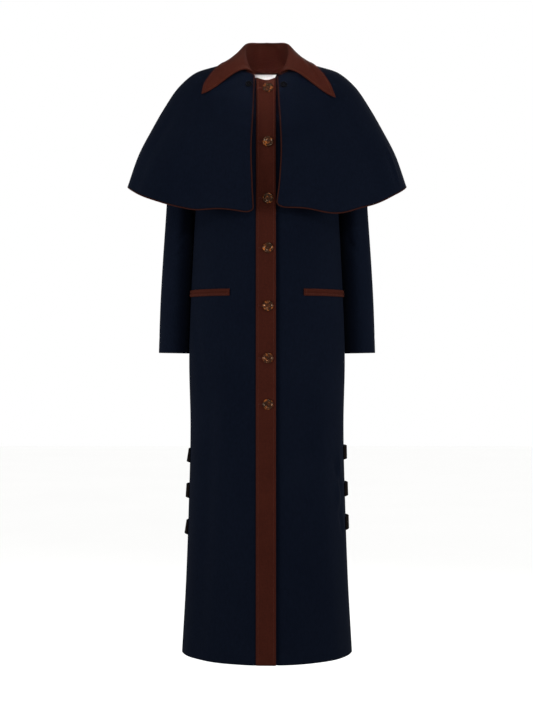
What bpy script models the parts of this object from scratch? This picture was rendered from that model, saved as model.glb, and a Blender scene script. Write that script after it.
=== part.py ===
"""A full-length coat with a shoulder cape, filled out as if it were worn.

Every piece of cloth is a thin wall. The coat's panels lie on one body surface, given by a table of
rings, and the cape, sleeves and collar have tables of their own. Metres, +Z up. The origin is the middle
of the neck, the front faces -Y, and +X is the wearer's left.
"""

from collections import namedtuple

import bmesh
import bpy
import numpy as np
from mathutils import Matrix, Vector

# Walls and gaps
CLOTH = 0.0022
TRIM = 0.0020
LABEL_WALL = 0.0010
SEAM_GAP = 0.0003

# Coat body: one ring for each height, from the hem up to the shoulder's high point at the neck
BodyRing = namedtuple("BodyRing", "z half_width front_depth back_depth")
BODY_RINGS = (
    BodyRing(-1.376, 0.1993, 0.170, 0.165),
    BodyRing(-1.200, 0.1894, 0.162, 0.156),
    BodyRing(-1.050, 0.1840, 0.156, 0.149),
    BodyRing(-0.850, 0.1795, 0.150, 0.140),
    BodyRing(-0.700, 0.1825, 0.147, 0.136),
    BodyRing(-0.550, 0.1780, 0.138, 0.126),
    BodyRing(-0.420, 0.1715, 0.1325, 0.116),
    BodyRing(-0.340, 0.1680, 0.1305, 0.113),
    BodyRing(-0.262, 0.1660, 0.131, 0.113),
    BodyRing(-0.160, 0.1650, 0.119, 0.110),
    BodyRing(-0.100, 0.1690, 0.100, 0.100),
    BodyRing(-0.056, 0.1760, 0.082, 0.088),
    BodyRing(-0.046, 0.1780, 0.073, 0.085),
    BodyRing(-0.034, 0.1600, 0.060, 0.080),
    BodyRing(-0.020, 0.1310, 0.043, 0.073),
    BodyRing(-0.008, 0.0980, 0.029, 0.064),
    BodyRing(0.002, 0.0705, 0.015, 0.050),
    BodyRing(0.006, 0.0600, 0.006, 0.044),
)
HEM_Z = BODY_RINGS[0].z
ARMPIT_Z = -0.262
SHOULDER_Z = -0.046
SHOULDER_TOP_Z = BODY_RINGS[-1].z
YOKE_FRONT_Z = -0.105
YOKE_BACK_Z = -0.060
NECK_HALF_WIDTH = 0.060
NECK_FRONT = 0.082
NECK_BACK = 0.066
ARMHOLE_FRONT = 0.49
ARMHOLE_BACK = 0.45
SLIT_TOP_Z = -0.885
SLIT_HALF_GAP = 0.0012
SIDE_SEAM_RADIUS = 0.115
SHOULDER_SEAM_RADIUS = 0.045
NECK_LOWEST_Z = -0.090

# Button band and the left front's underlap
BAND_SEAM_X = -0.0245
BAND_EDGE_X = 0.0190
BAND_RISE = 0.0012
UNDERLAP_X = -0.0100
UNDERLAP_SINK = 0.0016
UNDERLAP_RAMP = 0.030

# Sleeve: outer and inner line of the tube at fractions along it, with its half depth and the middle's y
SleeveRing = namedtuple("SleeveRing", "along outer_x outer_z inner_x inner_z half_depth middle_y")
SLEEVE_RINGS = (
    SleeveRing(0.00, 0.1780, -0.0460, 0.1662, -0.2620, 0.056, 0.000),
    SleeveRing(0.06, 0.1985, -0.0640, 0.1676, -0.2640, 0.062, 0.002),
    SleeveRing(0.12, 0.2120, -0.0900, 0.1688, -0.2665, 0.066, 0.004),
    SleeveRing(0.22, 0.2228, -0.1450, 0.1692, -0.2750, 0.068, 0.010),
    SleeveRing(0.36, 0.2312, -0.2400, 0.1676, -0.3000, 0.067, 0.020),
    SleeveRing(0.50, 0.2380, -0.3450, 0.1680, -0.3600, 0.064, 0.029),
    SleeveRing(0.70, 0.2472, -0.4750, 0.1728, -0.4800, 0.060, 0.034),
    SleeveRing(0.85, 0.2526, -0.5750, 0.1770, -0.5780, 0.057, 0.034),
    SleeveRing(1.00, 0.2558, -0.6790, 0.1808, -0.6805, 0.054, 0.032),
)
CAP_SEAM = 0.10
ARMHOLE_GAP = 0.0008
ARMHOLE_MIDDLE = (0.160, 0.0, -0.154)

# Collar: plan ellipse of the roll line, then its height and the leaf's edge at angles round from centre front
ROLL_HALF_WIDTH = 0.0497
ROLL_FRONT = 0.080
ROLL_BACK = 0.066
COLLAR_START = 31.0
STAND_LIFT = 0.0035
LEAF_FILL = 0.40
ROLL_SHARE = 0.12
LEFT_TIP = (0.007, -0.003, -0.009)
LEFT_TIP_REACH = 20.0
CollarRow = namedtuple("CollarRow", "angle roll_z edge_x edge_y edge_z lift spread bulge")
COLLAR_ROWS = (
    CollarRow(31, -0.0400, 0.1500, -0.0920, -0.0880, 0.042, 0.034, -0.002),
    CollarRow(47, -0.0280, 0.1470, -0.0850, -0.0660, 0.034, 0.024, 0.005),
    CollarRow(57, -0.0140, 0.1360, -0.0700, -0.0410, 0.027, 0.017, 0.008),
    CollarRow(72, 0.0070, 0.1150, -0.0380, -0.0130, 0.020, 0.010, 0.003),
    CollarRow(90, 0.0290, 0.1030, 0.0080, 0.0006, 0.016, 0.007, -0.002),
    CollarRow(110, 0.0470, 0.0890, 0.0480, -0.0060, 0.014, 0.006, 0.000),
    CollarRow(140, 0.0565, 0.0580, 0.0820, -0.0200, 0.014, 0.006, 0.001),
    CollarRow(180, 0.0600, 0.0000, 0.0970, -0.0260, 0.014, 0.006, 0.001),
)

# Cape: one ring for each fraction of its length, with the places of its side, front and back
CapeRing = namedtuple("CapeRing", "along side_x side_z front_y front_z back_y back_z drop_power")
CAPE_RINGS = (
    CapeRing(0.00, 0.0670, 0.0090, 0.0885, -0.0475, 0.0790, -0.0020, 1.70),
    CapeRing(0.12, 0.1145, -0.0082, 0.1015, -0.0850, 0.0980, -0.0400, 1.70),
    CapeRing(0.24, 0.1615, -0.0215, 0.1165, -0.1240, 0.1130, -0.0800, 1.50),
    CapeRing(0.37, 0.2055, -0.0560, 0.1310, -0.1650, 0.1250, -0.1230, 1.35),
    CapeRing(0.52, 0.2400, -0.1055, 0.1430, -0.2130, 0.1360, -0.1720, 1.25),
    CapeRing(0.68, 0.2700, -0.1580, 0.1500, -0.2620, 0.1450, -0.2240, 1.30),
    CapeRing(0.84, 0.3008, -0.2180, 0.1545, -0.3150, 0.1520, -0.2770, 1.35),
    CapeRing(1.00, 0.3266, -0.2928, 0.1580, -0.3660, 0.1580, -0.3300, 1.40),
)
CAPE_ROUNDNESS = 0.80
CAPE_NECK_LIFT = 0.0060
CAPE_NECK_SCALE = 1.04
CAPE_NECK_BLEND = 0.20
CapeEdge = namedtuple("CapeEdge", "along right_x left_x")
CAPE_EDGES = (
    CapeEdge(0.00, -0.0270, 0.0215),
    CapeEdge(0.30, -0.0315, 0.0280),
    CapeEdge(0.55, -0.0350, 0.0310),
    CapeEdge(0.80, -0.0325, 0.0270),
    CapeEdge(1.00, -0.0290, 0.0190),
)
CAPE_CORNER = 0.012
CAPE_FRONT_LENGTH = 0.33
CAPE_HEM_LENGTH = 0.36
HEM_TILT_RIGHT = -0.004
HEM_TILT_LEFT = 0.011
HEM_SAG_LEFT = -0.009
HEM_TILT_REACH = 0.6
HEM_SAG_REACH = 0.7
HEM_WAVE_RIGHT = 0.0092
HEM_WAVE_RIGHT_AT = 0.11
HEM_WAVE_LEFT = -0.0095
HEM_WAVE_LEFT_AT = 0.24
HEM_WAVE_REACH = 0.17
CAPE_SIDE_RADIUS = 0.10
CAPE_EDGE_LIMIT = 0.9
BINDING_WIDTH = 0.0028
BINDING_DEPTH = 0.0030
BINDING_END = 0.002
BINDING_TOP = 0.02
BINDING_GAP = 0.0004

# Things sewn on the panels
WELT_Z = -0.542
WELT_HEIGHT = 0.015
WELT_START = 0.06
WELT_REACH_RIGHT = 0.75
WELT_REACH_LEFT = 0.665
WELT_LIFT = 0.0004
WELT_WALL = 0.0018
LABEL_TOP_Z = -0.0130
LABEL_HEIGHT = 0.0200
LABEL_HALF_WIDTH = 0.0270
LABEL_MIDDLE_X = -0.0045
LABEL_TAPER = 0.42
LABEL_GAP = 0.0013
TAB_HEIGHT = 0.030
TAB_FRONT_COLUMN = 1
TAB_BACK_COLUMN = 2
TAB_WALL = 0.0022
TAB_GAP = 0.0004
TAB_BOW_POWER = 1.5
TabRow = namedtuple("TabRow", "right_z left_z right_bow left_bow right_flare")
TAB_ROWS = (
    TabRow(-0.919, -0.912, 0.0040, 0.0055, 0.55),
    TabRow(-1.002, -0.998, 0.0058, 0.0058, 0.10),
    TabRow(-1.087, -1.076, 0.0044, 0.0055, 0.45),
)
BUTTON_X = 0.0020
BUTTON_HEIGHTS = (-0.0757, -0.203, -0.3306, -0.4426, -0.5736, -0.691, -0.795)
BUTTON_RADIUS = 0.0122
BUTTON_GAP = 0.0004
CAPE_BUTTON_RADIUS = 0.0082
CAPE_BUTTON_ACROSS = 0.085
CAPE_BUTTON_ALONG = 0.122
BUTTON_SIDES = 18
ButtonRing = namedtuple("ButtonRing", "radius height")
BUTTON_PROFILE = (
    ButtonRing(0.80, 0.00),
    ButtonRing(1.00, 0.12),
    ButtonRing(0.98, 0.28),
    ButtonRing(0.86, 0.36),
    ButtonRing(0.72, 0.30),
    ButtonRing(0.60, 0.20),
)

# Grid steps, as few as the shapes need
LOWER_ROWS = 14
ARMHOLE_ROWS = 9
YOKE_ROWS = 4
FRONT_COLUMNS = 10
BACK_COLUMNS = 18
SLEEVE_SIDES = 2 * ARMHOLE_ROWS
COLLAR_COLUMNS = 30
SLEEVE_ROWS = (0, 0.03, 0.06, 0.108, 0.156, 0.204, 0.252, 0.3, 0.4, 0.52, 0.64, 0.76, 0.88, 1)
STAND_ROWS = 2
LEAF_ROWS = (0, 0.06, 0.14, 0.24, 0.38, 0.58, 0.8, 1)
CAPE_ROWS = 10
CAPE_COLUMNS = 9
CORNER_STEP = 0.3
BAND_COLUMNS = 3
BINDING_SIDES = 6
WELT_ROWS = 2
WELT_LAST_STEP = 0.02
LABEL_COLUMNS = 4
LABEL_ROWS = 3
TAB_COLUMNS = 6
TAB_STEPS = 2
SHARP_ANGLE = 0.9
HALVINGS = 44
ROUNDS = 4

FINISHES = {
    "navy_cloth": ((0.010, 0.013, 0.024), 0.9),
    "brown_trim": ((0.052, 0.014, 0.008), 0.85),
    "tab_cloth": ((0.016, 0.007, 0.005), 0.85),
    "white_label": ((0.62, 0.60, 0.61), 0.8),
    "tortoiseshell": ((0.16, 0.06, 0.015), 0.25),
    "black_button": ((0.008, 0.008, 0.009), 0.2),
}


def read_table(table, key, value, at):
    """One column of a table at the given keys, on a smooth curve that never overshoots the rows."""
    keys = np.array([getattr(row, key) for row in table], float)
    values = np.array([getattr(row, value) for row in table], float)
    step = np.diff(keys)
    rise = np.diff(values) / step
    slope = np.concatenate([rise[:1], np.zeros(len(rise) - 1), rise[-1:]])
    before = 2 * step[1:] + step[:-1]
    after = step[1:] + 2 * step[:-1]
    steady = rise[:-1] * rise[1:] > 0
    safe = np.where(steady, rise[:-1], 1), np.where(steady, rise[1:], 1)
    slope[1:-1] = np.where(steady, (before + after) / (before / safe[0] + after / safe[1]), 0)
    at = np.asarray(at, float)
    i = np.clip(np.searchsorted(keys, at) - 1, 0, len(step) - 1)
    t = (at - keys[i]) / step[i]
    start = values[i] * (1 + 2 * t) * (1 - t) ** 2 + slope[i] * step[i] * t * (1 - t) ** 2
    end = values[i + 1] * t**2 * (3 - 2 * t) - slope[i + 1] * step[i] * t**2 * (1 - t)
    return start + end


def ease(t):
    """0 to 1 with a soft start and end."""
    t = np.clip(t, 0, 1)
    return t * t * (3 - 2 * t)


def find_root(function, low, high):
    """Where a rising function of each element crosses zero, by halving."""
    for _ in range(HALVINGS):
        middle = (low + high) / 2
        below = function(middle) < 0
        low = np.where(below, middle, low)
        high = np.where(below, high, middle)
    return (low + high) / 2


def stack(x, y, z):
    return np.stack(np.broadcast_arrays(x, y, z), axis=-1).astype(float)


def body_point(angle, z):
    """Outer face of the coat's body at an angle round from centre front towards the wearer's left."""
    width = read_table(BODY_RINGS, "z", "half_width", z)
    front = read_table(BODY_RINGS, "z", "front_depth", z)
    back = read_table(BODY_RINGS, "z", "back_depth", z)
    depth = np.where(np.cos(angle) > 0, front, back)
    return stack(width * np.sin(angle), -depth * np.cos(angle), z)


def neck_excess(point):
    """Above zero outside the neck's plan ellipse, below zero inside it."""
    depth = np.where(point[..., 1] < 0, NECK_FRONT, NECK_BACK)
    return (point[..., 0] / NECK_HALF_WIDTH) ** 2 + (point[..., 1] / depth) ** 2 - 1


def neck_height(angle):
    """Height where the body surface meets the neck's ellipse."""
    low = np.full(np.shape(angle), NECK_LOWEST_Z)
    high = np.full(np.shape(angle), SHOULDER_TOP_Z)
    return find_root(lambda z: -neck_excess(body_point(angle, z)), low, high)


def neck_point(turn, scale=1.0):
    """Point of the neck's ellipse at a plan angle, dropped on the body surface, with its body angle."""
    x = NECK_HALF_WIDTH * scale * np.sin(turn)
    depth = np.where(np.cos(turn) > 0, NECK_FRONT, NECK_BACK) * scale
    y = -depth * np.cos(turn)

    def inside(z):
        width = read_table(BODY_RINGS, "z", "half_width", z)
        front = read_table(BODY_RINGS, "z", "front_depth", z)
        back = read_table(BODY_RINGS, "z", "back_depth", z)
        return (x / width) ** 2 + (y / np.where(y < 0, front, back)) ** 2 - 1

    low = np.full(np.shape(turn), NECK_LOWEST_Z)
    high = np.full(np.shape(turn), SHOULDER_TOP_Z)
    z = find_root(inside, low, high)
    return stack(x, y, z)


def row_height(angle, row):
    """Height of a panel row: 0 at the hem, 1 at the armpit, 2 at the yoke line and 3 at the neckline."""
    across = np.abs(np.sin(angle))
    yoke_end = np.where(np.cos(angle) > 0, YOKE_FRONT_Z, YOKE_BACK_Z)
    yoke = yoke_end + (SHOULDER_Z - yoke_end) * across
    lower = HEM_Z + (ARMPIT_Z - HEM_Z) * row
    middle = ARMPIT_Z + (yoke - ARMPIT_Z) * (row - 1)
    upper = yoke + (neck_height(angle) - yoke) * (row - 2)
    return np.where(row <= 1, lower, np.where(row <= 2, middle, upper))


def lower_row(z):
    """Panel row of a height below the armpit."""
    return (z - HEM_Z) / (ARMPIT_Z - HEM_Z)


def armhole_cut(row):
    """How far the armhole cuts into a panel at a row, from 0 to 1, as an oval."""
    return np.sqrt(np.clip(1 - (2 * row - 3) ** 2, 0, 1))


def side_angle(row, cut, gap_sign):
    """Angle of a panel's side edge: the side seam or slit, the armhole, then the shoulder seam."""
    z = row_height(np.full(np.shape(row), np.pi / 2), row)
    width = read_table(BODY_RINGS, "z", "half_width", np.minimum(z, SHOULDER_Z))
    half_gap = np.where(z < SLIT_TOP_Z, SLIT_HALF_GAP, SEAM_GAP / 2)
    radius = np.where(row > 2, SHOULDER_SEAM_RADIUS, SIDE_SEAM_RADIUS)
    return np.pi / 2 + gap_sign * (cut * armhole_cut(row) + half_gap / np.minimum(width, radius))


def centre_angle(x, row):
    """Body angle of a fixed distance from the middle of the front, at a row."""
    angle = np.zeros(np.shape(row))
    for _ in range(ROUNDS):
        width = read_table(BODY_RINGS, "z", "half_width", row_height(angle, row))
        angle = np.arcsin(x / width)
    return angle


def front_angle(u, row, edge_x, side):
    """A front panel: u from its side edge to its edge at the middle. side is 1 for the wearer's left."""
    outer = side_angle(row, ARMHOLE_FRONT, -1)
    inner = centre_angle(edge_x * side, row)
    return side * (outer + (inner - outer) * u)


def front_right_angle(u, row):
    return front_angle(u, row, BAND_SEAM_X - SEAM_GAP / 2, -1)


def front_left_angle(u, row):
    return front_angle(1 - u, row, UNDERLAP_X, 1)


def band_angle(u, row):
    left = centre_angle(BAND_SEAM_X + SEAM_GAP / 2, row)
    right = centre_angle(BAND_EDGE_X, row)
    return left + (right - left) * u


def back_angle(u, row):
    edge = side_angle(row, ARMHOLE_BACK, 1)
    return edge + (2 * np.pi - 2 * edge) * u


def panel(name, finish, angle_of, columns, rows, wall, lift=0.0):
    """A wall on the body surface. Below the band the left front sinks, where it runs on as the underlap."""
    u, row = np.meshgrid(np.asarray(columns, float), np.asarray(rows, float))
    angle = angle_of(u, row)
    z = row_height(angle, row)
    face = body_point(angle, z)
    out = normals(body_point, angle, z)
    if angle_of is front_left_angle:
        lift = lift - UNDERLAP_SINK * (1 - ease((face[..., :1] - BAND_EDGE_X) / UNDERLAP_RAMP))
    add_wall(name, finish, face + out * lift, face + out * (lift - wall))


def armhole_edge(turn):
    """Body angle and row of the armhole: turn 0 at the armpit, then the front, the shoulder and the back."""
    cut = np.where(np.sin(turn) > 0, -ARMHOLE_FRONT, ARMHOLE_BACK)
    return np.pi / 2 + cut * np.abs(np.sin(turn)), 1.5 - 0.5 * np.cos(turn)


def sleeve_point(u, along, side):
    """The sleeve's tube, which starts on the armhole and swings round into rings across the arm."""
    turn = 2 * np.pi * u
    angle, row = armhole_edge(turn)
    hole = body_point(angle, row_height(angle, row))
    ring = {name: read_table(SLEEVE_RINGS, "along", name, along) for name in SleeveRing._fields[1:]}
    swing = np.cos(turn)
    x = (ring["outer_x"] + ring["inner_x"]) / 2 - (ring["outer_x"] - ring["inner_x"]) / 2 * swing
    z = (ring["outer_z"] + ring["inner_z"]) / 2 - (ring["outer_z"] - ring["inner_z"]) / 2 * swing
    y = ring["middle_y"] - ring["half_depth"] * np.sin(turn)
    inward = np.array(ARMHOLE_MIDDLE) - hole
    start = hole + inward / np.linalg.norm(inward, axis=-1, keepdims=True) * ARMHOLE_GAP
    point = start + (stack(x, y, z) - start) * ease(along / CAP_SEAM)[..., None]
    point[..., 0] *= side
    return point


def sleeve_normal(u, along, side):
    """Out of the sleeve. Over the shoulder, where sleeve and body nearly agree, it starts out of the body."""
    own = normals(lambda a, b: sleeve_point(a, b, side), u, along) * -side
    angle, row = armhole_edge(2 * np.pi * u)
    body = normals(body_point, angle, row_height(angle, row))
    body[..., 0] *= side
    agree = ease(2 * np.sum(own * body, axis=-1) - 1)
    mixed = own + (body - own) * (agree * (1 - ease(along / CAP_SEAM)))[..., None]
    return mixed / np.linalg.norm(mixed, axis=-1, keepdims=True)


def roll_point(turn):
    depth = np.where(np.cos(turn) > 0, ROLL_FRONT, ROLL_BACK)
    height = read_table(COLLAR_ROWS, "angle", "roll_z", np.degrees(np.abs(np.pi - np.abs(turn - np.pi))))
    return stack(ROLL_HALF_WIDTH * np.sin(turn), -depth * np.cos(turn), height)


def collar_turn(u):
    start = np.radians(COLLAR_START)
    return start + (2 * np.pi - 2 * start) * u


def stand_point(u, v):
    """Collar stand: its face towards the neck, from the neckline up to the roll line."""
    turn = collar_turn(u)
    base = neck_point(turn)
    base[..., 2] += STAND_LIFT
    top = roll_point(turn)
    top[..., 2] -= SEAM_GAP
    return base + (top - base) * v[..., None]


def leaf_point(u, v):
    """Collar leaf: up from the roll line, over, and down to its edge, as one cubic curve at each angle."""
    turn = collar_turn(u)
    degrees = np.degrees(np.abs(np.pi - np.abs(turn - np.pi)))
    row = {name: read_table(COLLAR_ROWS, "angle", name, degrees) for name in CollarRow._fields[2:]}
    start = roll_point(turn)
    side = np.where(turn < np.pi, 1.0, -1.0)
    end = stack(side * row["edge_x"], row["edge_y"], row["edge_z"])
    tip = (1 - ease((degrees - COLLAR_START) / LEFT_TIP_REACH)) * (side > 0)
    end = end + np.array(LEFT_TIP) * tip[..., None]
    out = end - start
    out[..., 2] = 0
    out = out / np.linalg.norm(out, axis=-1, keepdims=True)
    up = np.array([0.0, 0.0, 1.0])
    first = start + up * row["lift"][..., None] + out * row["spread"][..., None]
    second = end + (start - end) * LEAF_FILL + up * row["bulge"][..., None]
    v = v[..., None]
    return start * (1 - v) ** 3 + 3 * first * v * (1 - v) ** 2 + 3 * second * v**2 * (1 - v) + end * v**3


def leaf_normal(u, v):
    """Out of the leaf's seen face, but out of the stand's at the roll line, so that the two walls meet."""
    own = -normals(leaf_point, u, v)
    stand = -normals(stand_point, u, np.ones(np.shape(v)))
    mixed = stand + (own - stand) * ease(v / ROLL_SHARE)[..., None]
    return mixed / np.linalg.norm(mixed, axis=-1, keepdims=True)


def cape_surface(turn, along):
    """Outer face of the cape at an angle round from centre front, along from the neck to the hem."""
    ring = {name: read_table(CAPE_RINGS, "along", name, along) for name in CapeRing._fields[1:]}
    front = np.cos(turn) > 0
    across = np.abs(np.sin(turn)) ** CAPE_ROUNDNESS * np.sign(np.sin(turn))
    ahead = np.abs(np.cos(turn)) ** CAPE_ROUNDNESS * -np.sign(np.cos(turn))
    drop = np.abs(np.cos(turn)) ** ring["drop_power"]
    end_z = np.where(front, ring["front_z"], ring["back_z"])
    depth = np.where(front, ring["front_y"], ring["back_y"])
    free = stack(ring["side_x"] * across, depth * ahead, ring["side_z"] + (end_z - ring["side_z"]) * drop)
    neck = neck_point(turn, CAPE_NECK_SCALE)
    neck[..., 2] += CAPE_NECK_LIFT
    return neck + (free - neck) * ease(along / CAPE_NECK_BLEND)[..., None]


def cape_edge_turn(along, column, sign, inset):
    """Angle of a cape front's free edge, from its distance to the middle."""
    target = read_table(CAPE_EDGES, "along", column, along) * sign + inset
    reach = np.full(np.shape(along), CAPE_EDGE_LIMIT)
    return find_root(lambda turn: cape_surface(turn, along)[..., 0] - target, reach * 0, reach)


def cape_front_point(u, v, column, sign, inset=0.0):
    """A cape front: u from its free edge to the shoulder line, v from the neck to the hem, corner rounded."""
    near = np.clip(1 - u * CAPE_HEM_LENGTH / CAPE_CORNER, 0, 1)
    lift = CAPE_CORNER * (1 - np.sqrt(1 - near**2))
    tilt = HEM_TILT_RIGHT if sign < 0 else HEM_TILT_LEFT
    sag = 0.0 if sign < 0 else HEM_SAG_LEFT
    wave = HEM_WAVE_RIGHT if sign < 0 else HEM_WAVE_LEFT
    wave_at = HEM_WAVE_RIGHT_AT if sign < 0 else HEM_WAVE_LEFT_AT
    along = v * (1 - (lift + inset) / CAPE_FRONT_LENGTH)
    start = cape_edge_turn(along, column, sign, inset)
    side_gap = SEAM_GAP / 2 / CAPE_SIDE_RADIUS
    turn = start + (np.pi / 2 - side_gap - start) * u
    point = cape_surface(turn, along)
    tilted = tilt * (1 - ease(u / HEM_TILT_REACH))
    sagged = sag * np.sin(np.pi * np.clip(u / HEM_SAG_REACH, 0, 1)) ** 2
    waved = wave * np.cos(np.pi / 2 * np.clip((u - wave_at) / HEM_WAVE_REACH, -1, 1)) ** 2
    point[..., 2] += v**2 * (tilted + sagged + waved)
    point[..., 0] *= sign
    return point


def cape_right_point(u, v):
    return cape_front_point(u, v, "right_x", -1, BINDING_WIDTH)


def cape_left_point(u, v):
    return cape_front_point(u, v, "left_x", 1, BINDING_WIDTH)


def cape_back_point(u, v, inset=BINDING_WIDTH):
    side_gap = SEAM_GAP / 2 / CAPE_SIDE_RADIUS
    turn = np.pi / 2 + side_gap + (np.pi - 2 * side_gap) * u
    return cape_surface(turn, v * (1 - inset / CAPE_FRONT_LENGTH))


def normals(point, u, v, step=1e-4):
    """Unit normals of a surface given as point(u, v)."""
    across = point(u + step, v) - point(u - step, v)
    along = point(u, v + step) - point(u, v - step)
    normal = np.cross(across, along)
    return normal / np.linalg.norm(normal, axis=-1, keepdims=True)


def make_material(name):
    colour, roughness = FINISHES[name]
    material = bpy.data.materials.get(name) or bpy.data.materials.new(name)
    material.use_nodes = True
    shader = material.node_tree.nodes["Principled BSDF"]
    shader.inputs["Base Color"].default_value = (*colour, 1)
    shader.inputs["Roughness"].default_value = roughness
    shader.inputs["Metallic"].default_value = 0
    return material


def add_object(name, finish, mesh_builder):
    """A named object with its finish, from a bmesh whose faces are turned to point out."""
    bmesh.ops.recalc_face_normals(mesh_builder, faces=mesh_builder.faces)
    mesh = bpy.data.meshes.new(name)
    mesh_builder.to_mesh(mesh)
    mesh_builder.free()
    mesh.shade_smooth()
    mesh.set_sharp_from_angle(angle=SHARP_ANGLE)
    mesh.materials.append(make_material(finish))
    piece = bpy.data.objects.new(name, mesh)
    bpy.context.scene.collection.objects.link(piece)
    return piece


def add_wall(name, finish, outer, inner, ring=False):
    """A closed wall between two grids of points, open at its edges or closed round as a ring."""
    builder = bmesh.new()
    rows, columns = outer.shape[:2]
    faces = [
        [[builder.verts.new(Vector(point)) for point in line] for line in grid]
        for grid in (outer, inner)
    ]
    last = columns if ring else columns - 1
    for i in range(rows - 1):
        for j in range(last):
            k = (j + 1) % columns
            for grid in faces:
                builder.faces.new((grid[i][j], grid[i][k], grid[i + 1][k], grid[i + 1][j]))
    front, behind = faces
    for i in (0, rows - 1):
        for j in range(last):
            k = (j + 1) % columns
            builder.faces.new((front[i][j], front[i][k], behind[i][k], behind[i][j]))
    if not ring:
        for j in (0, columns - 1):
            for i in range(rows - 1):
                builder.faces.new((front[i][j], front[i + 1][j], behind[i + 1][j], behind[i][j]))
    return add_object(name, finish, builder)


def cloth(name, finish, point, columns, rows, wall, lift=0.0, flip=False, ring=False, out=None):
    """A wall over point(u, v): its face lifted along the normal, its other face one wall behind."""
    u, v = np.meshgrid(np.asarray(columns, float), np.asarray(rows, float))
    normal = out(u, v) if out else normals(point, u, v) * (-1 if flip else 1)
    face = point(u, v)
    return add_wall(name, finish, face + normal * lift, face + normal * (lift - wall), ring)


def body_rows():
    """Panel rows from hem to neckline, closest together at both ends of the armhole."""
    lower = np.linspace(0, 1, LOWER_ROWS + 1)
    armhole = 1.5 - 0.5 * np.cos(np.linspace(0, np.pi, ARMHOLE_ROWS + 1))
    yoke = np.linspace(2, 3, YOKE_ROWS + 1)
    return np.concatenate([lower, armhole[1:], yoke[1:]])


def make_body():
    rows = body_rows()
    fronts = np.linspace(0, 1, FRONT_COLUMNS + 1)
    backs = np.linspace(0, 1, BACK_COLUMNS + 1)
    bands = np.linspace(0, 1, BAND_COLUMNS + 1)
    panel("front_right", "navy_cloth", front_right_angle, fronts, rows, CLOTH)
    panel("front_left", "navy_cloth", front_left_angle, fronts, rows, CLOTH)
    panel("back", "navy_cloth", back_angle, backs, rows, CLOTH)
    panel("front_band", "brown_trim", band_angle, bands, rows, TRIM, lift=BAND_RISE)


def make_sleeves():
    sides = np.arange(SLEEVE_SIDES) / SLEEVE_SIDES
    for name, side in (("sleeve_right", -1), ("sleeve_left", 1)):
        cloth(
            name, "navy_cloth", lambda u, v: sleeve_point(u, v, side), sides, SLEEVE_ROWS, CLOTH,
            ring=True, out=lambda u, v: sleeve_normal(u, v, side),
        )


def make_collar():
    columns = np.linspace(0, 1, COLLAR_COLUMNS + 1)
    stand_rows = np.linspace(0, 1, STAND_ROWS + 1)
    cloth("collar_stand", "brown_trim", stand_point, columns, stand_rows, TRIM, flip=True)
    cloth("collar_leaf", "brown_trim", leaf_point, columns, LEAF_ROWS, TRIM, out=leaf_normal)


def make_cape():
    corner = CAPE_CORNER / CAPE_HEM_LENGTH
    columns = np.concatenate([[0, corner * CORNER_STEP], np.linspace(corner, 1, CAPE_COLUMNS)])
    rows = np.linspace(0, 1, CAPE_ROWS + 1)
    cloth("cape_front_right", "navy_cloth", cape_right_point, columns, rows, CLOTH)
    cloth("cape_front_left", "navy_cloth", cape_left_point, columns, rows, CLOTH, flip=True)
    back_columns = np.linspace(0, 1, BACK_COLUMNS + 1)
    cloth("cape_back", "navy_cloth", cape_back_point, back_columns, rows, CLOTH, flip=True)


def make_tube(name, finish, middle, outward, normal, width, depth):
    """A flat oval tube along points, with its width outward from the edge and its depth along the normal."""
    spokes = np.linspace(0, 2 * np.pi, BINDING_SIDES, endpoint=False)
    builder = bmesh.new()
    loops = []
    for point, out, up in zip(middle, outward, normal):
        ring = [point + out * width / 2 * np.cos(a) + up * depth / 2 * np.sin(a) for a in spokes]
        loops.append([builder.verts.new(Vector(corner)) for corner in ring])
    for first, second in zip(loops, loops[1:]):
        for j in range(len(spokes)):
            k = (j + 1) % len(spokes)
            builder.faces.new((first[j], first[k], second[k], second[j]))
    builder.faces.new(loops[0])
    builder.faces.new(loops[-1])
    add_object(name, finish, builder)


def binding_along(name, point, u, v, flip):
    """Binding along a cape's edge: outward is across both the edge's run and the cloth's normal."""
    normal = normals(point, u, v) * (-1 if flip else 1)
    edge = point(u, v) - normal * CLOTH / 2
    run = np.gradient(edge, axis=0)
    run = run / np.linalg.norm(run, axis=-1, keepdims=True)
    outward = np.cross(run, normal)
    outward = outward / np.linalg.norm(outward, axis=-1, keepdims=True)
    middle = point(np.full(len(u), 0.5), np.full(len(u), 0.5))
    if np.sum((edge - middle) * outward) < 0:
        outward = -outward
    centre = edge + outward * (BINDING_WIDTH / 2 + BINDING_GAP)
    make_tube(name, "brown_trim", centre, outward, normal, BINDING_WIDTH, BINDING_DEPTH)


def make_bindings():
    corner = CAPE_CORNER / CAPE_HEM_LENGTH
    hem = np.concatenate([[corner * CORNER_STEP], np.linspace(corner, 1, CAPE_COLUMNS)])
    down = np.linspace(BINDING_TOP, 1, CAPE_ROWS + 1)
    u = np.concatenate([np.zeros(CAPE_ROWS + 1), hem])
    v = np.concatenate([down, np.ones(len(hem))])
    binding_along("cape_binding_front_right", cape_right_point, u, v, False)
    binding_along("cape_binding_front_left", cape_left_point, u, v, True)
    back = np.linspace(0, 1, BACK_COLUMNS + 1) * (1 - 2 * BINDING_END) + BINDING_END
    binding_along("cape_binding_back", cape_back_point, back, np.ones(len(back)), True)


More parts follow.
